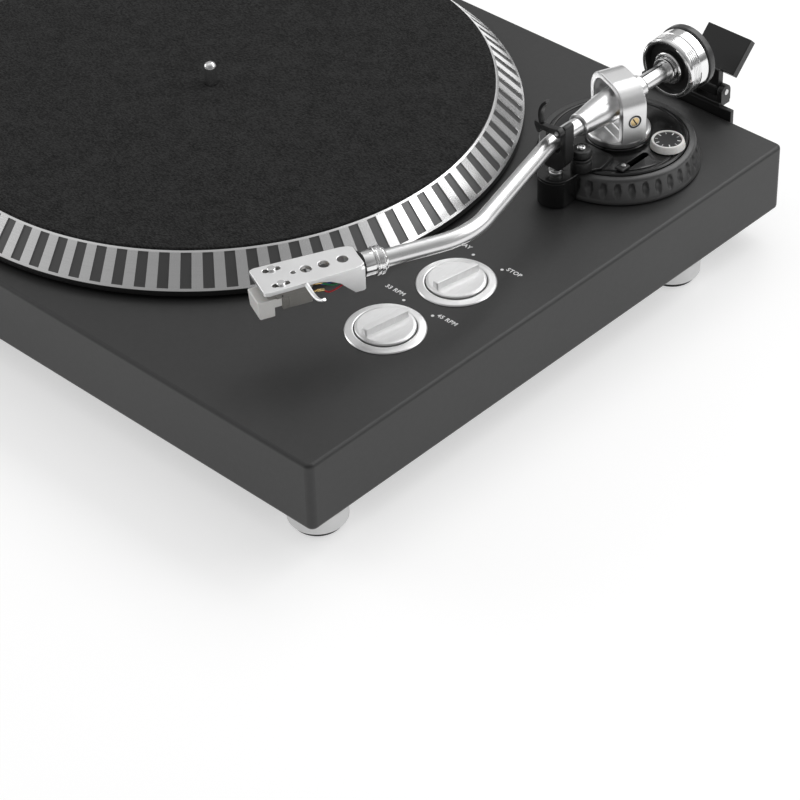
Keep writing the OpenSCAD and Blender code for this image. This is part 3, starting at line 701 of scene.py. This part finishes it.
def legend(words, x, y, align):
    text = bpy.data.curves.new("legend", "FONT")
    text.body, text.size, text.align_x, text.align_y = words, 3.6, align, "BOTTOM_BASELINE"
    text.extrude, text.space_character, text.offset = 0.015, 1.1, 0.09
    drawn(text, shift(x, y, 0.02), bm)


for at, words in (
    (knob_places["speed_knob"], ("33 RPM", "45 RPM")), (knob_places["play_knob"], ("PLAY", "STOP"))
):
    for side, word in zip((-1, 1), words):
        x, y = at.x + side * 9.6, at.y + 23
        bmesh.ops.create_cone(
            bm, cap_ends=True, segments=24, radius1=0.85, radius2=0.85, depth=0.03,
            matrix=shift(x, y, 0.02)
        )
        legend(
            word, x + (0.4 if side < 0 else 1.6) - (0 if side > 0 else 5 if word == "PLAY" else 3),
            y + (2.2 if side < 0 else 1.0), "RIGHT" if side < 0 else "LEFT"
        )
piece(bm, "printed_legends", "case", white_print, DECK, flip=False)

# %% [markdown]
# The arm's base is a turned black disc with a fine groove near its edge and a slot for
# the cueing lever. Round it sits the height ring with its oval finger hollows.

# %% Arm base
SLOT = slit(22.2, -14, 2.0, 9)
bm = plate(arc(0, 0, 33.0, steps=96), [SLOT], 12.2, 15.0, 0.12)
lathe([
    (33.0, 12.6), (33.0, 14.5), (33.25, 14.25), (33.8, 14.25), (34.1, 14.9), (35.7, 15.0),
    (36.5, 14.3), (36.5, 1.2), (33.4, 1.2), (33.4, 12.6)
], 128, 0.12, closed=True, into=bm)
lathe([
    (6.6, 15.0), (17.0, 15.0), (17.0, 16.2), (16.6, 16.6), (6.6, 16.6)
], 96, closed=True, into=bm)
lathe([(6.6, -27.9), (12.9, -27.9), (12.9, 12.4), (6.6, 12.4)], 64, closed=True, into=bm)
piece(bm, "arm_base_disc", "arm_base_body", gloss_moulding, ARM, ["arm_base"])
HOLLOWS = 36
foot_lip = [(37.05, 0.5), (43.1, 0.5), (43.45, 0.9), (43.45, 2.3), (43.1, 2.8)]
slope = [(43.1 - 2.5 * i / 14, 2.8 + 9.9 * i / 14) for i in range(1, 15)]
top_lip = [(40.3, 13.4), (39.7, 13.9), (37.05, 13.9)]
bm = lathe(foot_lip + slope + top_lip, HOLLOWS * 16, closed=True)
for vert in bm.verts:
    radius = math.hypot(vert.co.x, vert.co.y)
    if radius > 40 and 2.8 < vert.co.z < 12.9:
        around = (math.degrees(math.atan2(vert.co.y, vert.co.x)) / (360 / HOLLOWS) + 0.5) % 1 - 0.5
        dip = 1 - (around / 0.26) ** 2 - ((vert.co.z - 7.9) / 4.1) ** 2
        if dip > 0:
            vert.co.x -= vert.co.x / radius * 1.5 * dip**0.7
            vert.co.y -= vert.co.y / radius * 1.5 * dip**0.7
piece(
    bm, "scalloped_ring", "height_ring_body", ring_moulding, ARM, ["height_ring"],
    sharp=40
)

# %% [markdown]
# The anti-skate dial is a small white knob: a skirt cut with fine ribs round a black
# top that carries pale ticks. The ribs are every other face of the spin, drawn in.

# %% Anti-skate dial
dial = on_deck("antiskate_dial") - Vector((arm_axis.x, arm_axis.y, 0))
DIAL = ARM @ shift(dial.x, dial.y)
bm = lathe([
    (2.5, 11.6), (2.5, 15.3), (8.7, 15.3), (9.15, 15.6), (9.15, 16.3), (8.55, 18.7), (8.3, 19.25),
    (7.5, 19.38), (7.15, 18.95), (0, 18.95)
], 144)
bmesh.ops.recalc_face_normals(bm, faces=bm.faces)
for face in bm.faces:
    radius, _, height = place_of(face)
    if radius < 7.1 and height > 18.9:
        face.material_index = 1
ribs = rib_faces(bm, 16.3, 18.7, 0, 2.5)
bmesh.ops.inset_individual(bm, faces=ribs, thickness=0.05, depth=-0.14)
piece(
    bm, "antiskate_knob", "antiskate_body", [white_moulding, moulding], DIAL,
    ["antiskate_dial"]
)
bm = bmesh.new()
for step in range(10):
    tick = block(
        (-0.16, 5.2, 18.96), (0.16, 6.7, 19.0), 0
    ) if step % 2 else block((-0.3, 4.9, 18.96), (0.3, 6.7, 19.0), 0)
    add(bm, tick, turn(36 * step + 12))
piece(bm, "antiskate_ticks", "antiskate_body", white_print, DIAL)

# %% [markdown]
# The cueing lever slides in the slot and carries a small screw. The lift beside it is a
# cylinder with a waist, a cap that rises out of it, and a rubbered arc under the tube.

# %% Cueing lever and lift
cue = on_deck("cue_slider") - Vector((arm_axis.x, arm_axis.y, 0))
CUE = ARM @ shift(cue.x, cue.y + 0.8)
bm = block((-1.6, -2.6, 10.2), (1.6, 2.6, 15.4), 0.2)
block((-2.5, -4.1, 15.35), (2.5, 2.5, 16.8), 0.65, 4, into=bm)
piece(bm, "cue_lever", "cue_body", moulding, CUE, ["cue_slider"])
bm = lathe([(0, 16.7), (1.2, 16.7), (1.2, 17.1), (0.9, 17.4), (0, 17.45)], 32, 0.06)
block((-1.0, -0.12, 17.38), (1.0, 0.12, 17.46), 0, into=bm)
piece(bm, "cue_lever_screw", "cue_body", zinc, CUE @ turn(35))
lift = on_deck("lift_cylinder") - Vector((arm_axis.x, arm_axis.y, 0))
LIFT = ARM @ shift(lift.x, lift.y)
bm = lathe([
    (2.6, 16.5), (5.5, 16.5), (5.5, 21.6), (5.2, 21.9), (5.2, 22.4), (5.5, 22.7), (5.5, 23.7),
    (5.2, 24), (2.6, 24)
], 64, 0.15, closed=True)
piece(bm, "lift_barrel", "arm_base_body", moulding, LIFT, ["lift_cylinder"])
bm = lathe([
    (0, 18.2), (2.5, 18.2), (2.5, 24.5), (4.9, 24.5), (5.2, 24.8), (5.2, 27.9), (4.7, 28.5),
    (0, 28.5)
], 64, 0.12)
piece(bm, "lift_cap", "lift_body", moulding, LIFT, ["lift_platform"])
bm = lathe([(0, 28.4), (2.15, 28.4), (2.2, 28.7), (2.2, 29.4), (1.7, 29.9), (0, 29.97)], 40, 0.1)
add(bm, block((-1.6, -0.2, 29.85), (1.6, 0.2, 29.99), 0), turn(40))
piece(bm, "lift_cap_screw", "lift_body", chrome, LIFT)
sweep = [
    (
        math.cos(math.radians(a)) * 38.18, math.sin(math.radians(a)) * 38.18, 26.8
    ) for a in range(236, 278, 2)
]
piece(pipe(sweep, 1.38, 16), "lift_arc", "lift_body", rubber, ARM)

# %% [markdown]
# The arm rest stands on a pod beside the base. A bracket plate joins them, a steel post
# holds the cradle, and a clip hinged on its upright closes over the tube. The clip has
# a curved tab at its far end for a fingertip.

# %% Arm rest
edge = [(-9.4, -48.8)] + arc(0, -48.8, 9.4, 180, 180, 20) + [
    (9.4, -40), (14.6, -31.0), (12.6, -18.5), (9.2, -17.9), (-9.2, -17.9), (-9.4, -22)
]
bm = plate(edge[1:], [arc(0, -48.8, 2.6, steps=20)], 15.05, 16.5, 0.25)
piece(bm, "rest_plate", "arm_base_body", gloss_moulding, ARM, ["rest_bracket"])
bm = plate(arc(0, -48.8, 9.4, 203, 134, 24) + arc(0, 0, 44.1, -78.6, -22.8, 10), [], 0.5, 15.1, 0.3)
piece(bm, "rest_pod", "arm_base_body", gloss_moulding, ARM)
bm = lathe([
    (2.5, 14.9), (2.5, 16.5), (3.5, 16.5), (3.5, 17.6), (3.0, 17.9), (3.0, 18.3), (3.5, 18.6),
    (3.5, 19.2), (2.9, 19.5), (2.5, 19.7), (2.5, 21.9)
], 48, 0.08)
piece(bm, "rest_stem", "arm_base_body", zinc, ARM @ shift(0, -48.8), ["rest_post"])
STAND = ARM @ shift(0, -45.4) @ turn(90, "X")
outline = [(-4.4, 20.6), (4.4, 20.6), (7.2, 24.2), (9.0, 28), (9.1, 45)]
outline += arc(7.4, 46.6, 1.7, 0, 150, 10) + [(5.45, 45.2), (5.4, 34.4)]
outline += arc(2.8, 34, 2.6, 0, -90, 8) + [(-5.4, 31.4)]
outline += arc(-5.6, 30.2, 1.2, 90, 90, 6) + [(-6.8, 27)]
bm = plate(outline, [], 0.0, 6.8, 0.5)
piece(bm, "rest_fork", "arm_base_body", moulding, STAND, ["rest_cradle"])
CLIP = STAND @ shift(6.6, 46.0)
bm = lathe([(0, 6.7), (1.18, 6.7), (1.18, 11.0), (0, 11.1)], 24, 0.1)
piece(bm, "clip_pin", "arm_base_body", zinc, CLIP)
bm = plate(arc(0, 0, 2.55, steps=32), [arc(0, 0, 1.25, steps=20)], 7.2, 10.7, 0.25)
bar = [
    (-1, 2.3), (-4.6, 1.5), (-10.6, 1.35), (-14.0, 2.0), (-14.9, 1.9), (-14.9, -0.5), (-13.1, -4.1),
    (-11.8, -4.2), (-11.0, -1.7), (-2.2, -1.6)
]
plate(bar[::-1], [], 7.25, 10.65, 0.3, into=bm)
plate(
    arc(0, 6.2, 12.65, 129, 72, 26) + arc(0, 6.2, 10.95, 201, -72, 26), [], 7.3, 10.6, 0.3, into=bm
)
piece(bm, "arm_clip", "clip_body", moulding, CLIP, ["rest_clip"])

# %% [markdown]
# The yoke is an arch over the arm. It is one outline with one opening, as deep as the
# casting, set askew like the headshell. A round foot and a sloping web carry it.

# %% Turret and yoke
bm = lathe([
    (3, -23.4), (3, 17), (15.4, 17), (16.9, 17.3), (17, 17.7), (17, 20.2), (16.6, 20.9),
    (15.9, 21.0), (0, 21.0)
], 96, 0.1)
piece(bm, "turret_disc", "turret_body", arm_silver, ARM, ["arm_turret"])
ARCH = YOKE @ shift(0, 7) @ turn(90, "X")
outer = [(-17.5, 20.8), (17.5, 20.8)] + arc(4.5, 38, 13, 0, 90, 18) + arc(-4.5, 38, 13, 90, 90, 18)
gap = [
    (-13.5, 21.5), (13.5, 21.5)
] + arc(4.1, 38.1, 9.4, 0, 90, 16) + arc(-4.1, 38.1, 9.4, 90, 90, 16)
bm = plate(outer, [gap], 0, 14, 0.5)
piece(bm, "yoke_arch", "turret_body", arm_silver, ARCH, ["yoke"], sharp=40)
bm = plate(
    [(-13.4, 20.9), (13.4, 20.9), (13.4, 24.6), (5, 22.2), (-5, 22.2), (-13.4, 24.6)], [], 5.4, 9.4,
    0.3
)
piece(bm, "yoke_web", "turret_body", arm_silver, ARCH)
PIVOT = YOKE @ shift(z=33) @ turn(90, "Y")
bm = lathe([
    (0, 10.6), (2.7, 10.6), (2.7, 12.4), (3.1, 12.6), (3.1, 13.5), (2.0, 13.5), (2.0, 16.4),
    (2.75, 16.4), (2.75, 17.3), (2.4, 17.56), (0, 17.56)
], 40, 0.06)
lathe([(0, 8.4), (1, 9.4), (1, 10.7), (0, 10.7)], 24, into=bm)
piece(bm, "right_pivot_screw", "turret_body", brass, PIVOT, ["pivot_screws"])
bm = lathe([(2.7, 17.2), (3.7, 17.2), (3.7, 17.53), (2.7, 17.53)], 48, closed=True)
piece(bm, "pivot_recess", "turret_body", steel_paint, PIVOT)
bm = lathe([(3.68, 17.3), (4.1, 17.3), (4.05, 17.62), (3.7, 17.62)], 48, 0.06, closed=True)
piece(bm, "pivot_recess_edge", "turret_body", arm_silver, PIVOT)
bm = block((-2.2, -0.34, 17.5), (2.2, 0.34, 17.6), 0)
piece(bm, "pivot_screw_slot", "turret_body", steel_paint, PIVOT @ turn(30))
bm = lathe([
    (0, -16.4), (1.9, -16.4), (1.9, -13.5), (2.9, -13.5), (2.9, -10.6), (1, -10.6), (1, -9.4),
    (0, -8.4)
], 40, 0.06)
piece(bm, "left_pivot_screw", "turret_body", arm_silver, PIVOT)

# %% [markdown]
# The barrel is turned from one bar: thick where the bearings cross it, with a step where
# the tube enters. The S tube leaves it straight, bends right, then bends back left.

# %% Barrel and tube
ALONG = TUBE @ turn(-90, "X")
bm = lathe([
    (0, 8), (7.8, 8), (8.5, 7.4), (8.6, 6.6), (8.6, -7), (8.3, -12), (7.4, -20), (6.5, -26),
    (6.1, -29.5), (6.1, -31.4), (5.7, -31.9), (4.75, -31.9), (4.75, -31.2), (0, -31.2)
], 80, 0.12)
piece(bm, "barrel_body", "arm_body", arm_silver, ALONG, ["arm_barrel"])
bm = lathe([(0, -10.2), (4.0, -10.2), (4.2, -9.9), (4.2, 9.9), (4.0, 10.2), (0, 10.2)], 40)
piece(bm, "barrel_cross", "arm_body", arm_silver, PIVOT)
bm = bmesh.new()
TUBE_R = 4.4
circle = bmesh.ops.create_circle(
    bm, segments=40, radius=TUBE_R, matrix=shift(0, -20) @ turn(90, "X")
)
rim = list({e for v in circle["verts"] for e in v.link_edges})


def straight(edges, heading, length):
    """Draws the open rim on along a heading, in degrees from -Y towards +X."""
    moved = bmesh.ops.extrude_edge_only(bm, edges=edges)["geom"]
    way = Vector((math.sin(math.radians(heading)), -math.cos(math.radians(heading)), 0))
    bmesh.ops.translate(
        bm, vec=way * length, verts=[g for g in moved if isinstance(g, bmesh.types.BMVert)]
    )
    return [g for g in moved if isinstance(g, bmesh.types.BMEdge) and g.is_boundary]


def bend(edges, centre, sweep, steps):
    """Spins the open rim round an upright axis through centre."""
    made = bmesh.ops.spin(
        bm, geom=edges, cent=(*centre, 0), axis=(0, 0, 1), angle=math.radians(sweep), steps=steps
    )
    return [g for g in made["geom_last"] if isinstance(g, bmesh.types.BMEdge)]


FIRST, SECOND = 15.5, 39.0
first_out = (60 * (1 - math.cos(math.radians(FIRST))), -45 - 60 * math.sin(math.radians(FIRST)))
middle_run = (first_out[1] + 123) / math.cos(math.radians(FIRST))
second_in = (first_out[0] + middle_run * math.sin(math.radians(FIRST)), -123)
second_centre = (
    second_in[0] - 46 * math.cos(math.radians(FIRST)),
    second_in[1] - 46 * math.sin(math.radians(FIRST))
)
rim = straight(rim, 0, 25)
rim = bend(rim, (60, -45), FIRST, 16)
rim = straight(rim, FIRST, middle_run)
rim = bend(rim, second_centre, -SECOND, 36)
rim = straight(rim, SHELL_TURN, 33)
piece(bm, "s_tube", "arm_body", arm_silver, TUBE, ["arm_tube"], sharp=60)

# %% [markdown]
# A knurled collar locks the headshell to the tube, against a rubber washer.

# %% Lock collar and washer
BEHIND = SHELL @ turn(-90, "X")
bm = lathe([
    (4.5, 1.3), (5.9, 1.3), (6.2, 1.6), (6.2, 6.6), (5.8, 7.0), (7.0, 7.1), (7.25, 7.3),
    (7.25, 8.1), (6.9, 8.3), (6.9, 9.0), (7.25, 9.2), (7.25, 10.9), (7.0, 11.2), (5.8, 11.3),
    (5.8, 12.2), (5.2, 13.3), (4.5, 13.4)
], 96, 0.05, closed=True)
bmesh.ops.recalc_face_normals(bm, faces=bm.faces)
ribs = rib_faces(bm, 7.3, 10.9, 7.1, 3.75)
bmesh.ops.inset_individual(bm, faces=ribs, thickness=0.05, depth=-0.22)
piece(bm, "knurled_collar", "lock_body", chrome, BEHIND, ["lock_collar"])
bm = lathe([
    (3.9, 0.0), (6.6, 0.0), (6.9, 0.25), (6.9, 0.65), (6.6, 0.9), (3.9, 0.9)
], 64, closed=True)
piece(bm, "neck_washer", "arm_body", rubber, BEHIND, ["shell_washer"])

# %% [markdown]
# The headshell is one casting: a top plate with three round holes, a small one and two
# slots, and two cheeks that drop behind, cut away in an arch so that the leads can be reached.

# %% Headshell
outline = [
    (-7.2, -0.2), (7.2, -0.2), (8.8, -2.2), (9.6, -6), (10.3, -24), (11.0, -49.4), (10.4, -51.4),
    (9.4, -52), (-9.4, -52), (-10.4, -51.4), (-11.0, -49.4), (-10.3, -24), (-9.6, -6), (-8.8, -2.2)
]
holes = [
    arc(0, y, 2.75, steps=32) for y in (-8.3, -17.9, -27)
] + [arc(0, -33.5, 1.2, steps=20)] + [slit(x, -42, 1.4, 3.1) for x in (-6.35, 6.35)]
bm = plate(outline, holes, 4.1, 6.3, 0.3)
cheek = [
    (-0.6, 4.3), (-0.6, -7.4), (-1.4, -8.0), (-5.8, -8.0), (-9.4, -4.6), (-13.4, -0.6),
    (-18.2, 2.0), (-24, 3.3), (-34, 3.5), (-34, 4.3)
]
for x in (-9.35, 7.55):
    side = plate(cheek, [], 0, 1.8, 0.25)
    add(bm, side, shift(x=x) @ turn(90, "Z") @ turn(90, "X"))
block((-8.6, -4.6, -7.6), (8.6, -0.2, 4.6), 0.4, into=bm)
piece(
    bm, "headshell_casting", "arm_body", shell_silver, SHELL, ["headshell"],
    sharp=13
)
bm = lathe([(0, 0.2), (3.85, 0.2), (3.85, 7.8), (0, 7.8)], 40, 0.2)
piece(bm, "headshell_neck", "arm_body", zinc, BEHIND)
path = curved([
    (10.4, -30.8, 5.1), (14.5, -30.8, 4.75), (19, -30.8, 4.65), (23.5, -30.4, 5.2),
    (26.4, -29.6, 6.6), (27.9, -28.6, 8.2)
], 5)
bm = pipe(path, [1.25 - 0.35 * i / (len(path) - 1) for i in range(len(path))], 16)
for vert in bm.verts:
    vert.co.z = vert.co.z * 0.75 + 0.25 * 5.2
piece(bm, "finger_hook", "arm_body", shell_silver, SHELL, ["finger_lift"])
bm = bmesh.new()
for x in (-6.35, 6.35):
    screw = lathe([
        (0, -0.5), (1.2, -0.5), (1.2, 6.35), (2.15, 6.35), (2.2, 6.9), (1.8, 7.35), (0, 7.4)
    ], 32, 0.06)
    block((-1.5, -0.2, 7.3), (1.5, 0.2, 7.41), 0, into=screw)
    add(bm, screw, shift(x, -42))
piece(bm, "cartridge_screws", "arm_body", chrome, SHELL, ["headshell_screws"])

# %% [markdown]
# A moving-magnet cartridge is a grey body with a clip-on white stylus holder. Three ribs
# mark its side, four gold pins stand out behind, and a fine cantilever hangs in front.

# %% Cartridge
bm = block((-8.4, -49.8, 1.0), (8.4, -27.1, 4.05), 0.35)
block((-7.5, -45, -1.2), (7.5, -27.2, 1.2), 0.3, into=bm)
block((-7.5, -42, -8.0), (7.5, -27.1, -0.9), 0.45, into=bm)
for y in (-40.9, -39.7, -38.5):
    block((-7.7, y - 0.35, -7.4), (7.7, y + 0.35, -1.4), 0.15, into=bm)
piece(bm, "cartridge_body", "arm_body", grey_moulding, SHELL, ["cartridge"])
bm = block((-6.9, -54.4, -11.2), (6.9, -45.8, -1.1), 0.7, 4)
for vert in bm.verts:
    if vert.co.z < -6:
        vert.co.y += (vert.co.y + 45.8) * 0.018 * (vert.co.z + 6)
block((-6.9, -46.4, -6.0), (6.9, -42.1, -1.1), 0.3, into=bm)
lathe([(0, -8.5), (1.6, -8.5), (1.6, -5.9), (0, -5.9)], 24, 0.1, into=bm)
piece(bm, "stylus_holder", "arm_body", white_moulding, SHELL, ["stylus"])
bm = pipe([(0, -43.8, -7.6), (0, -44.1, -10.9), (0, -44.35, -13.9)], [0.4, 0.33, 0.25], 12)
piece(bm, "cantilever", "arm_body", zinc, SHELL)
bm = bmesh.new()
ENDS = [(-4.5, -2.4), (-1.5, -4.6), (1.5, -2.4), (4.5, -4.6)]
for x, z in ENDS:
    block((x - 0.45, -27.3, z - 0.45), (x + 0.45, -22.4, z + 0.45), 0.12, into=bm)
    pipe([(x, -23.6, z), (x, -20.0, z - 0.5)], 0.8, 12, into=bm)
piece(bm, "gold_pins", "arm_body", gold, SHELL)
for (x, z), finish, name in zip(ENDS, lead_finishes, ("white", "blue", "green", "red")):
    path = curved([
        (x, -20.6, z - 0.4), (x * 1.1, -17.6, z - 2.2), (x * 1.15, -13.4, -6.2 + x * 0.12),
        (x * 0.95, -9.4, -4.4), (x * 0.7, -6.2, -1.6), (x * 0.6, -4.6, -0.9)
    ], 7)
    replaced = ["headshell_leads"] if name == "white" else []
    piece(
        pipe(path, 0.42, 12), name + "_headshell_lead", "arm_body", finish, SHELL,
        replaced
    )

# %% [markdown]
# Behind the pivot a shaft carries the counterweight: a chromed cylinder with a dished
# front and turned grooves, and a loose black ring behind it that reads the tracking force.

# %% Rear shaft and counterweight
bm = lathe([
    (0, 8), (6.5, 8), (6.5, 15.8), (6.1, 16.8), (4.9, 17.0), (4.5, 17.4), (4.5, 57.4), (4.1, 58),
    (0, 58)
], 64, 0.1)
piece(bm, "rear_bar", "arm_body", arm_silver, ALONG, ["rear_shaft"])
bm = block((-0.45, 18.5, 4.2), (0.45, 35, 4.56), 0.1)
piece(bm, "rear_bar_slit", "arm_body", steel_paint, TUBE)
bm = lathe([
    (4.56, 36), (6.6, 36), (6.8, 36.3), (6.8, 37.7), (6.5, 38), (5.6, 38), (5.6, 52.4), (4.56, 52.4)
], 72, 0.08, closed=True)
piece(bm, "core_sleeve", "core_body", chrome, ALONG, ["weight_core"])
grooves = []
for step in range(5):
    y = 40.6 + step * 1.25
    grooves += [(16.75, y), (16.75, y + 0.55), (16.0, y + 0.75), (16.0, y + 1.05)]
bm = lathe(
    [
        (5.7, 39.1), (8.2, 39.1), (8.8, 39.5), (9.2, 42.4), (13.4, 42.4), (14.4, 38.8),
        (15.4, 38.7), (16.4, 39.2)
    ] + grooves + [(16.75, 47.1), (16.75, 52.6), (16.3, 52.95), (9, 52.95), (9, 57.6), (5.7, 57.6)],
    128, 0.1, closed=True
)
for face in bm.faces:
    radius, _, height = place_of(face)
    if height < 42.6 and 8.9 < radius < 14.1:
        face.material_index = 1
piece(
    bm, "weight_body_turned", "weight_body", [weight_chrome, steel_paint], ALONG,
    ["counterweight"]
)
bm = lathe([
    (9.06, 53.4), (17.1, 53.4), (17.5, 53.8), (17.5, 57.0), (17.1, 57.4), (9.06, 57.4)
], 120, 0.1, closed=True)
piece(bm, "force_ring", "force_body", ring_moulding, ALONG, ["force_dial"])

# %% [markdown]
# Each hinge is a bracket on the rear wall with two cheeks, a steel pin, and a leaf whose
# socket would take the dust cover's tab. The leaves lean back, as they do when open.

# %% Hinges
pins = (DECK.inverted() @ middle("hinge_pins"))
reach = 172.6
for side, name in ((1, "right"), (-1, "left")):
    HINGE = DECK @ shift(pins.x + side * reach, pins.y, pins.z)
    LEAF = HINGE @ shift(0, 0.5, 11) @ turn(-45, "X")
    bm = block((-6.0, -3.4, -3.4), (6.0, 3.4, 3.4), 1.6, 4)
    block((-6.0, -2.5, 0), (6.0, 1.8, 13), 0.5, into=bm)
    piece(bm, name + "_leaf_barrel", name + "_leaf_body", moulding, HINGE)
    bm = block((-14.3, -2.45, 0.1), (14.3, -0.95, 20.9), 0.35)
    block((-14.3, 0.95, 0.1), (14.3, 2.45, 20.9), 0.35, into=bm)
    block((-14.3, -1.4, 0.1), (-12.2, 1.4, 20.9), 0.35, into=bm)
    block((12.2, -1.4, 0.1), (14.3, 1.4, 20.9), 0.35, into=bm)
    block((-13, -1.4, 0.1), (13, 1.4, 6), 0.3, into=bm)
    piece(
        bm, name + "_leaf_socket", name + "_leaf_body", moulding, LEAF,
        [name + "_hinge_leaf"]
    )
    ends = sorted((side * -43.5, side * 17.3))
    bm = block((ends[0], -5.5, -19), (ends[1], -2.55, -6.6), 0.5)
    block((-14.4, -5.4, -8), (9.4, 3.9, -4.85), 0.4, into=bm)
    for x in (-9.6, 6.4):
        cheek = plate(arc(0, 0, 4.0, 0, 180, 20) + [(-4, -6), (4, -6)], [], 0, 3.2, 0.3)
        add(bm, cheek, shift(x=x) @ turn(90, "Z") @ turn(90, "X"))
    piece(
        bm, name + "_hinge_bracket", "case", moulding, HINGE,
        ["hinge_brackets"] if side > 0 else []
    )
    bm = lathe([(0, -9.98), (1.5, -9.98), (1.6, -9.8), (1.6, 9.8), (1.5, 9.98), (0, 9.98)], 32)
    piece(
        bm, name + "_hinge_pin", "case", zinc, HINGE @ turn(90, "Y"),
        ["hinge_pins"] if side > 0 else []
    )

# %% [markdown]
# The pieces that the CAD already draws well keep their shape and only take a finish:
# the works inside, the base plate and the fittings in the rear wall.

# %% Finishes for the carried-over pieces
carried = {
    "base_plate": steel_paint, "case_screws": zinc, "foot_bolts": zinc, "bearing_housing": zinc,
    "chassis_screws": zinc, "thrust_ball": chrome, "drive_belt": rubber, "motor": zinc,
    "motor_pulley": brass, "main_board": board_green, "dc_inlet": moulding, "phono_sockets": gold,
    "ground_terminal": zinc, "signal_lead": rubber, "rotary_switches": grey_moulding,
    "arm_collar": zinc, "arm_bearings": spindle_steel,
}
for node, finish in carried.items():
    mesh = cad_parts[node].data
    mesh.materials.clear()
    mesh.materials.append(finish.material)
print(len(carried), "CAD pieces given a finish")

# %% [markdown]
# A pale floor and a soft studio: a large overhead panel behind the deck, a weaker one on
# each side, and a surround that is bright overhead and dark near the horizon, so that the
# satin sides stay soft and the chrome has something to mirror. It is dim above the
# camera. The floor glows a little, as a lit backdrop does, which keeps its shadow faint.

# %% Floor and light
floor_mesh = bpy.data.meshes.new("floor")
bm = bmesh.new()
bmesh.ops.create_grid(bm, x_segments=1, y_segments=1, size=6.0)
bm.to_mesh(floor_mesh)
bm.free()
floor = bpy.data.objects.new("floor", floor_mesh)
bpy.context.scene.collection.objects.link(floor)
pale = Finish("pale_floor", Roughness=0.9, Specular_IOR_Level=0.1)
pale.set(
    Base_Color=pale.mix(pale.noise(3, 2), shade(0.62), shade(0.64)), Emission_Color=shade(1.0),
    Emission_Strength=0.52
)
floor_mesh.materials.append(pale.material)


def panel(name, place, aim, width, height, power):
    """A soft rectangular light that faces a point."""
    light = bpy.data.lights.new(name, "AREA")
    light.shape, light.size, light.size_y, light.energy = "RECTANGLE", width, height, power
    holder = bpy.data.objects.new(name, light)
    bpy.context.scene.collection.objects.link(holder)
    way = Vector(aim) - Vector(place)
    aimed = way.to_track_quat("-Z", "Y").to_matrix().to_4x4()
    holder.matrix_world = Matrix.Translation(place) @ aimed


panel("overhead", (0.1, 1.5, 1.6), (0, 0, 0), 1.8, 1.0, 15)
panel("left_fill", (-1.9, -0.75, 0.75), (0, 0, 0.05), 1.3, 1.0, 8)
panel("right_strip", (1.35, 1.2, 1.15), (0.1, 0, 0.05), 0.9, 1.0, 6)
world = bpy.data.worlds.new("studio")
world.use_nodes = True
sky = world.node_tree
way = sky.nodes.new("ShaderNodeTexCoord")
height = sky.nodes.new("ShaderNodeSeparateXYZ")
tones = sky.nodes.new("ShaderNodeValToRGB")
for position, level in ((0, 0.14), (0.12, 0.20), (0.3, 0.50), (0.65, 0.50), (0.9, 0.9), (1, 1.0)):
    stop = tones.color_ramp.elements[0 if position == 0 else -1]
    if 0 < position < 1:
        stop = tones.color_ramp.elements.new(position)
    stop.position, stop.color = position, (level, level, level, 1)
facing = sky.nodes.new("ShaderNodeVectorMath")
facing.operation = "DOT_PRODUCT"
facing.inputs[1].default_value = (0.445, -0.435, 0.781)
dim = sky.nodes.new("ShaderNodeMapRange")
dim.inputs["From Min"].default_value, dim.inputs["From Max"].default_value = 0.55, 0.97
dim.inputs["To Min"].default_value, dim.inputs["To Max"].default_value = 1.0, 0.35
sky.links.new(way.outputs["Generated"], height.inputs[0])
sky.links.new(way.outputs["Generated"], facing.inputs[0])
sky.links.new(facing.outputs["Value"], dim.inputs["Value"])
sky.links.new(height.outputs["Z"], tones.inputs["Fac"])
sky.links.new(tones.outputs["Color"], sky.nodes["Background"].inputs["Color"])
sky.links.new(dim.outputs["Result"], sky.nodes["Background"].inputs["Strength"])
bpy.context.scene.world = world
bpy.context.scene.view_settings.view_transform = "Standard"
print("floor and light ready")
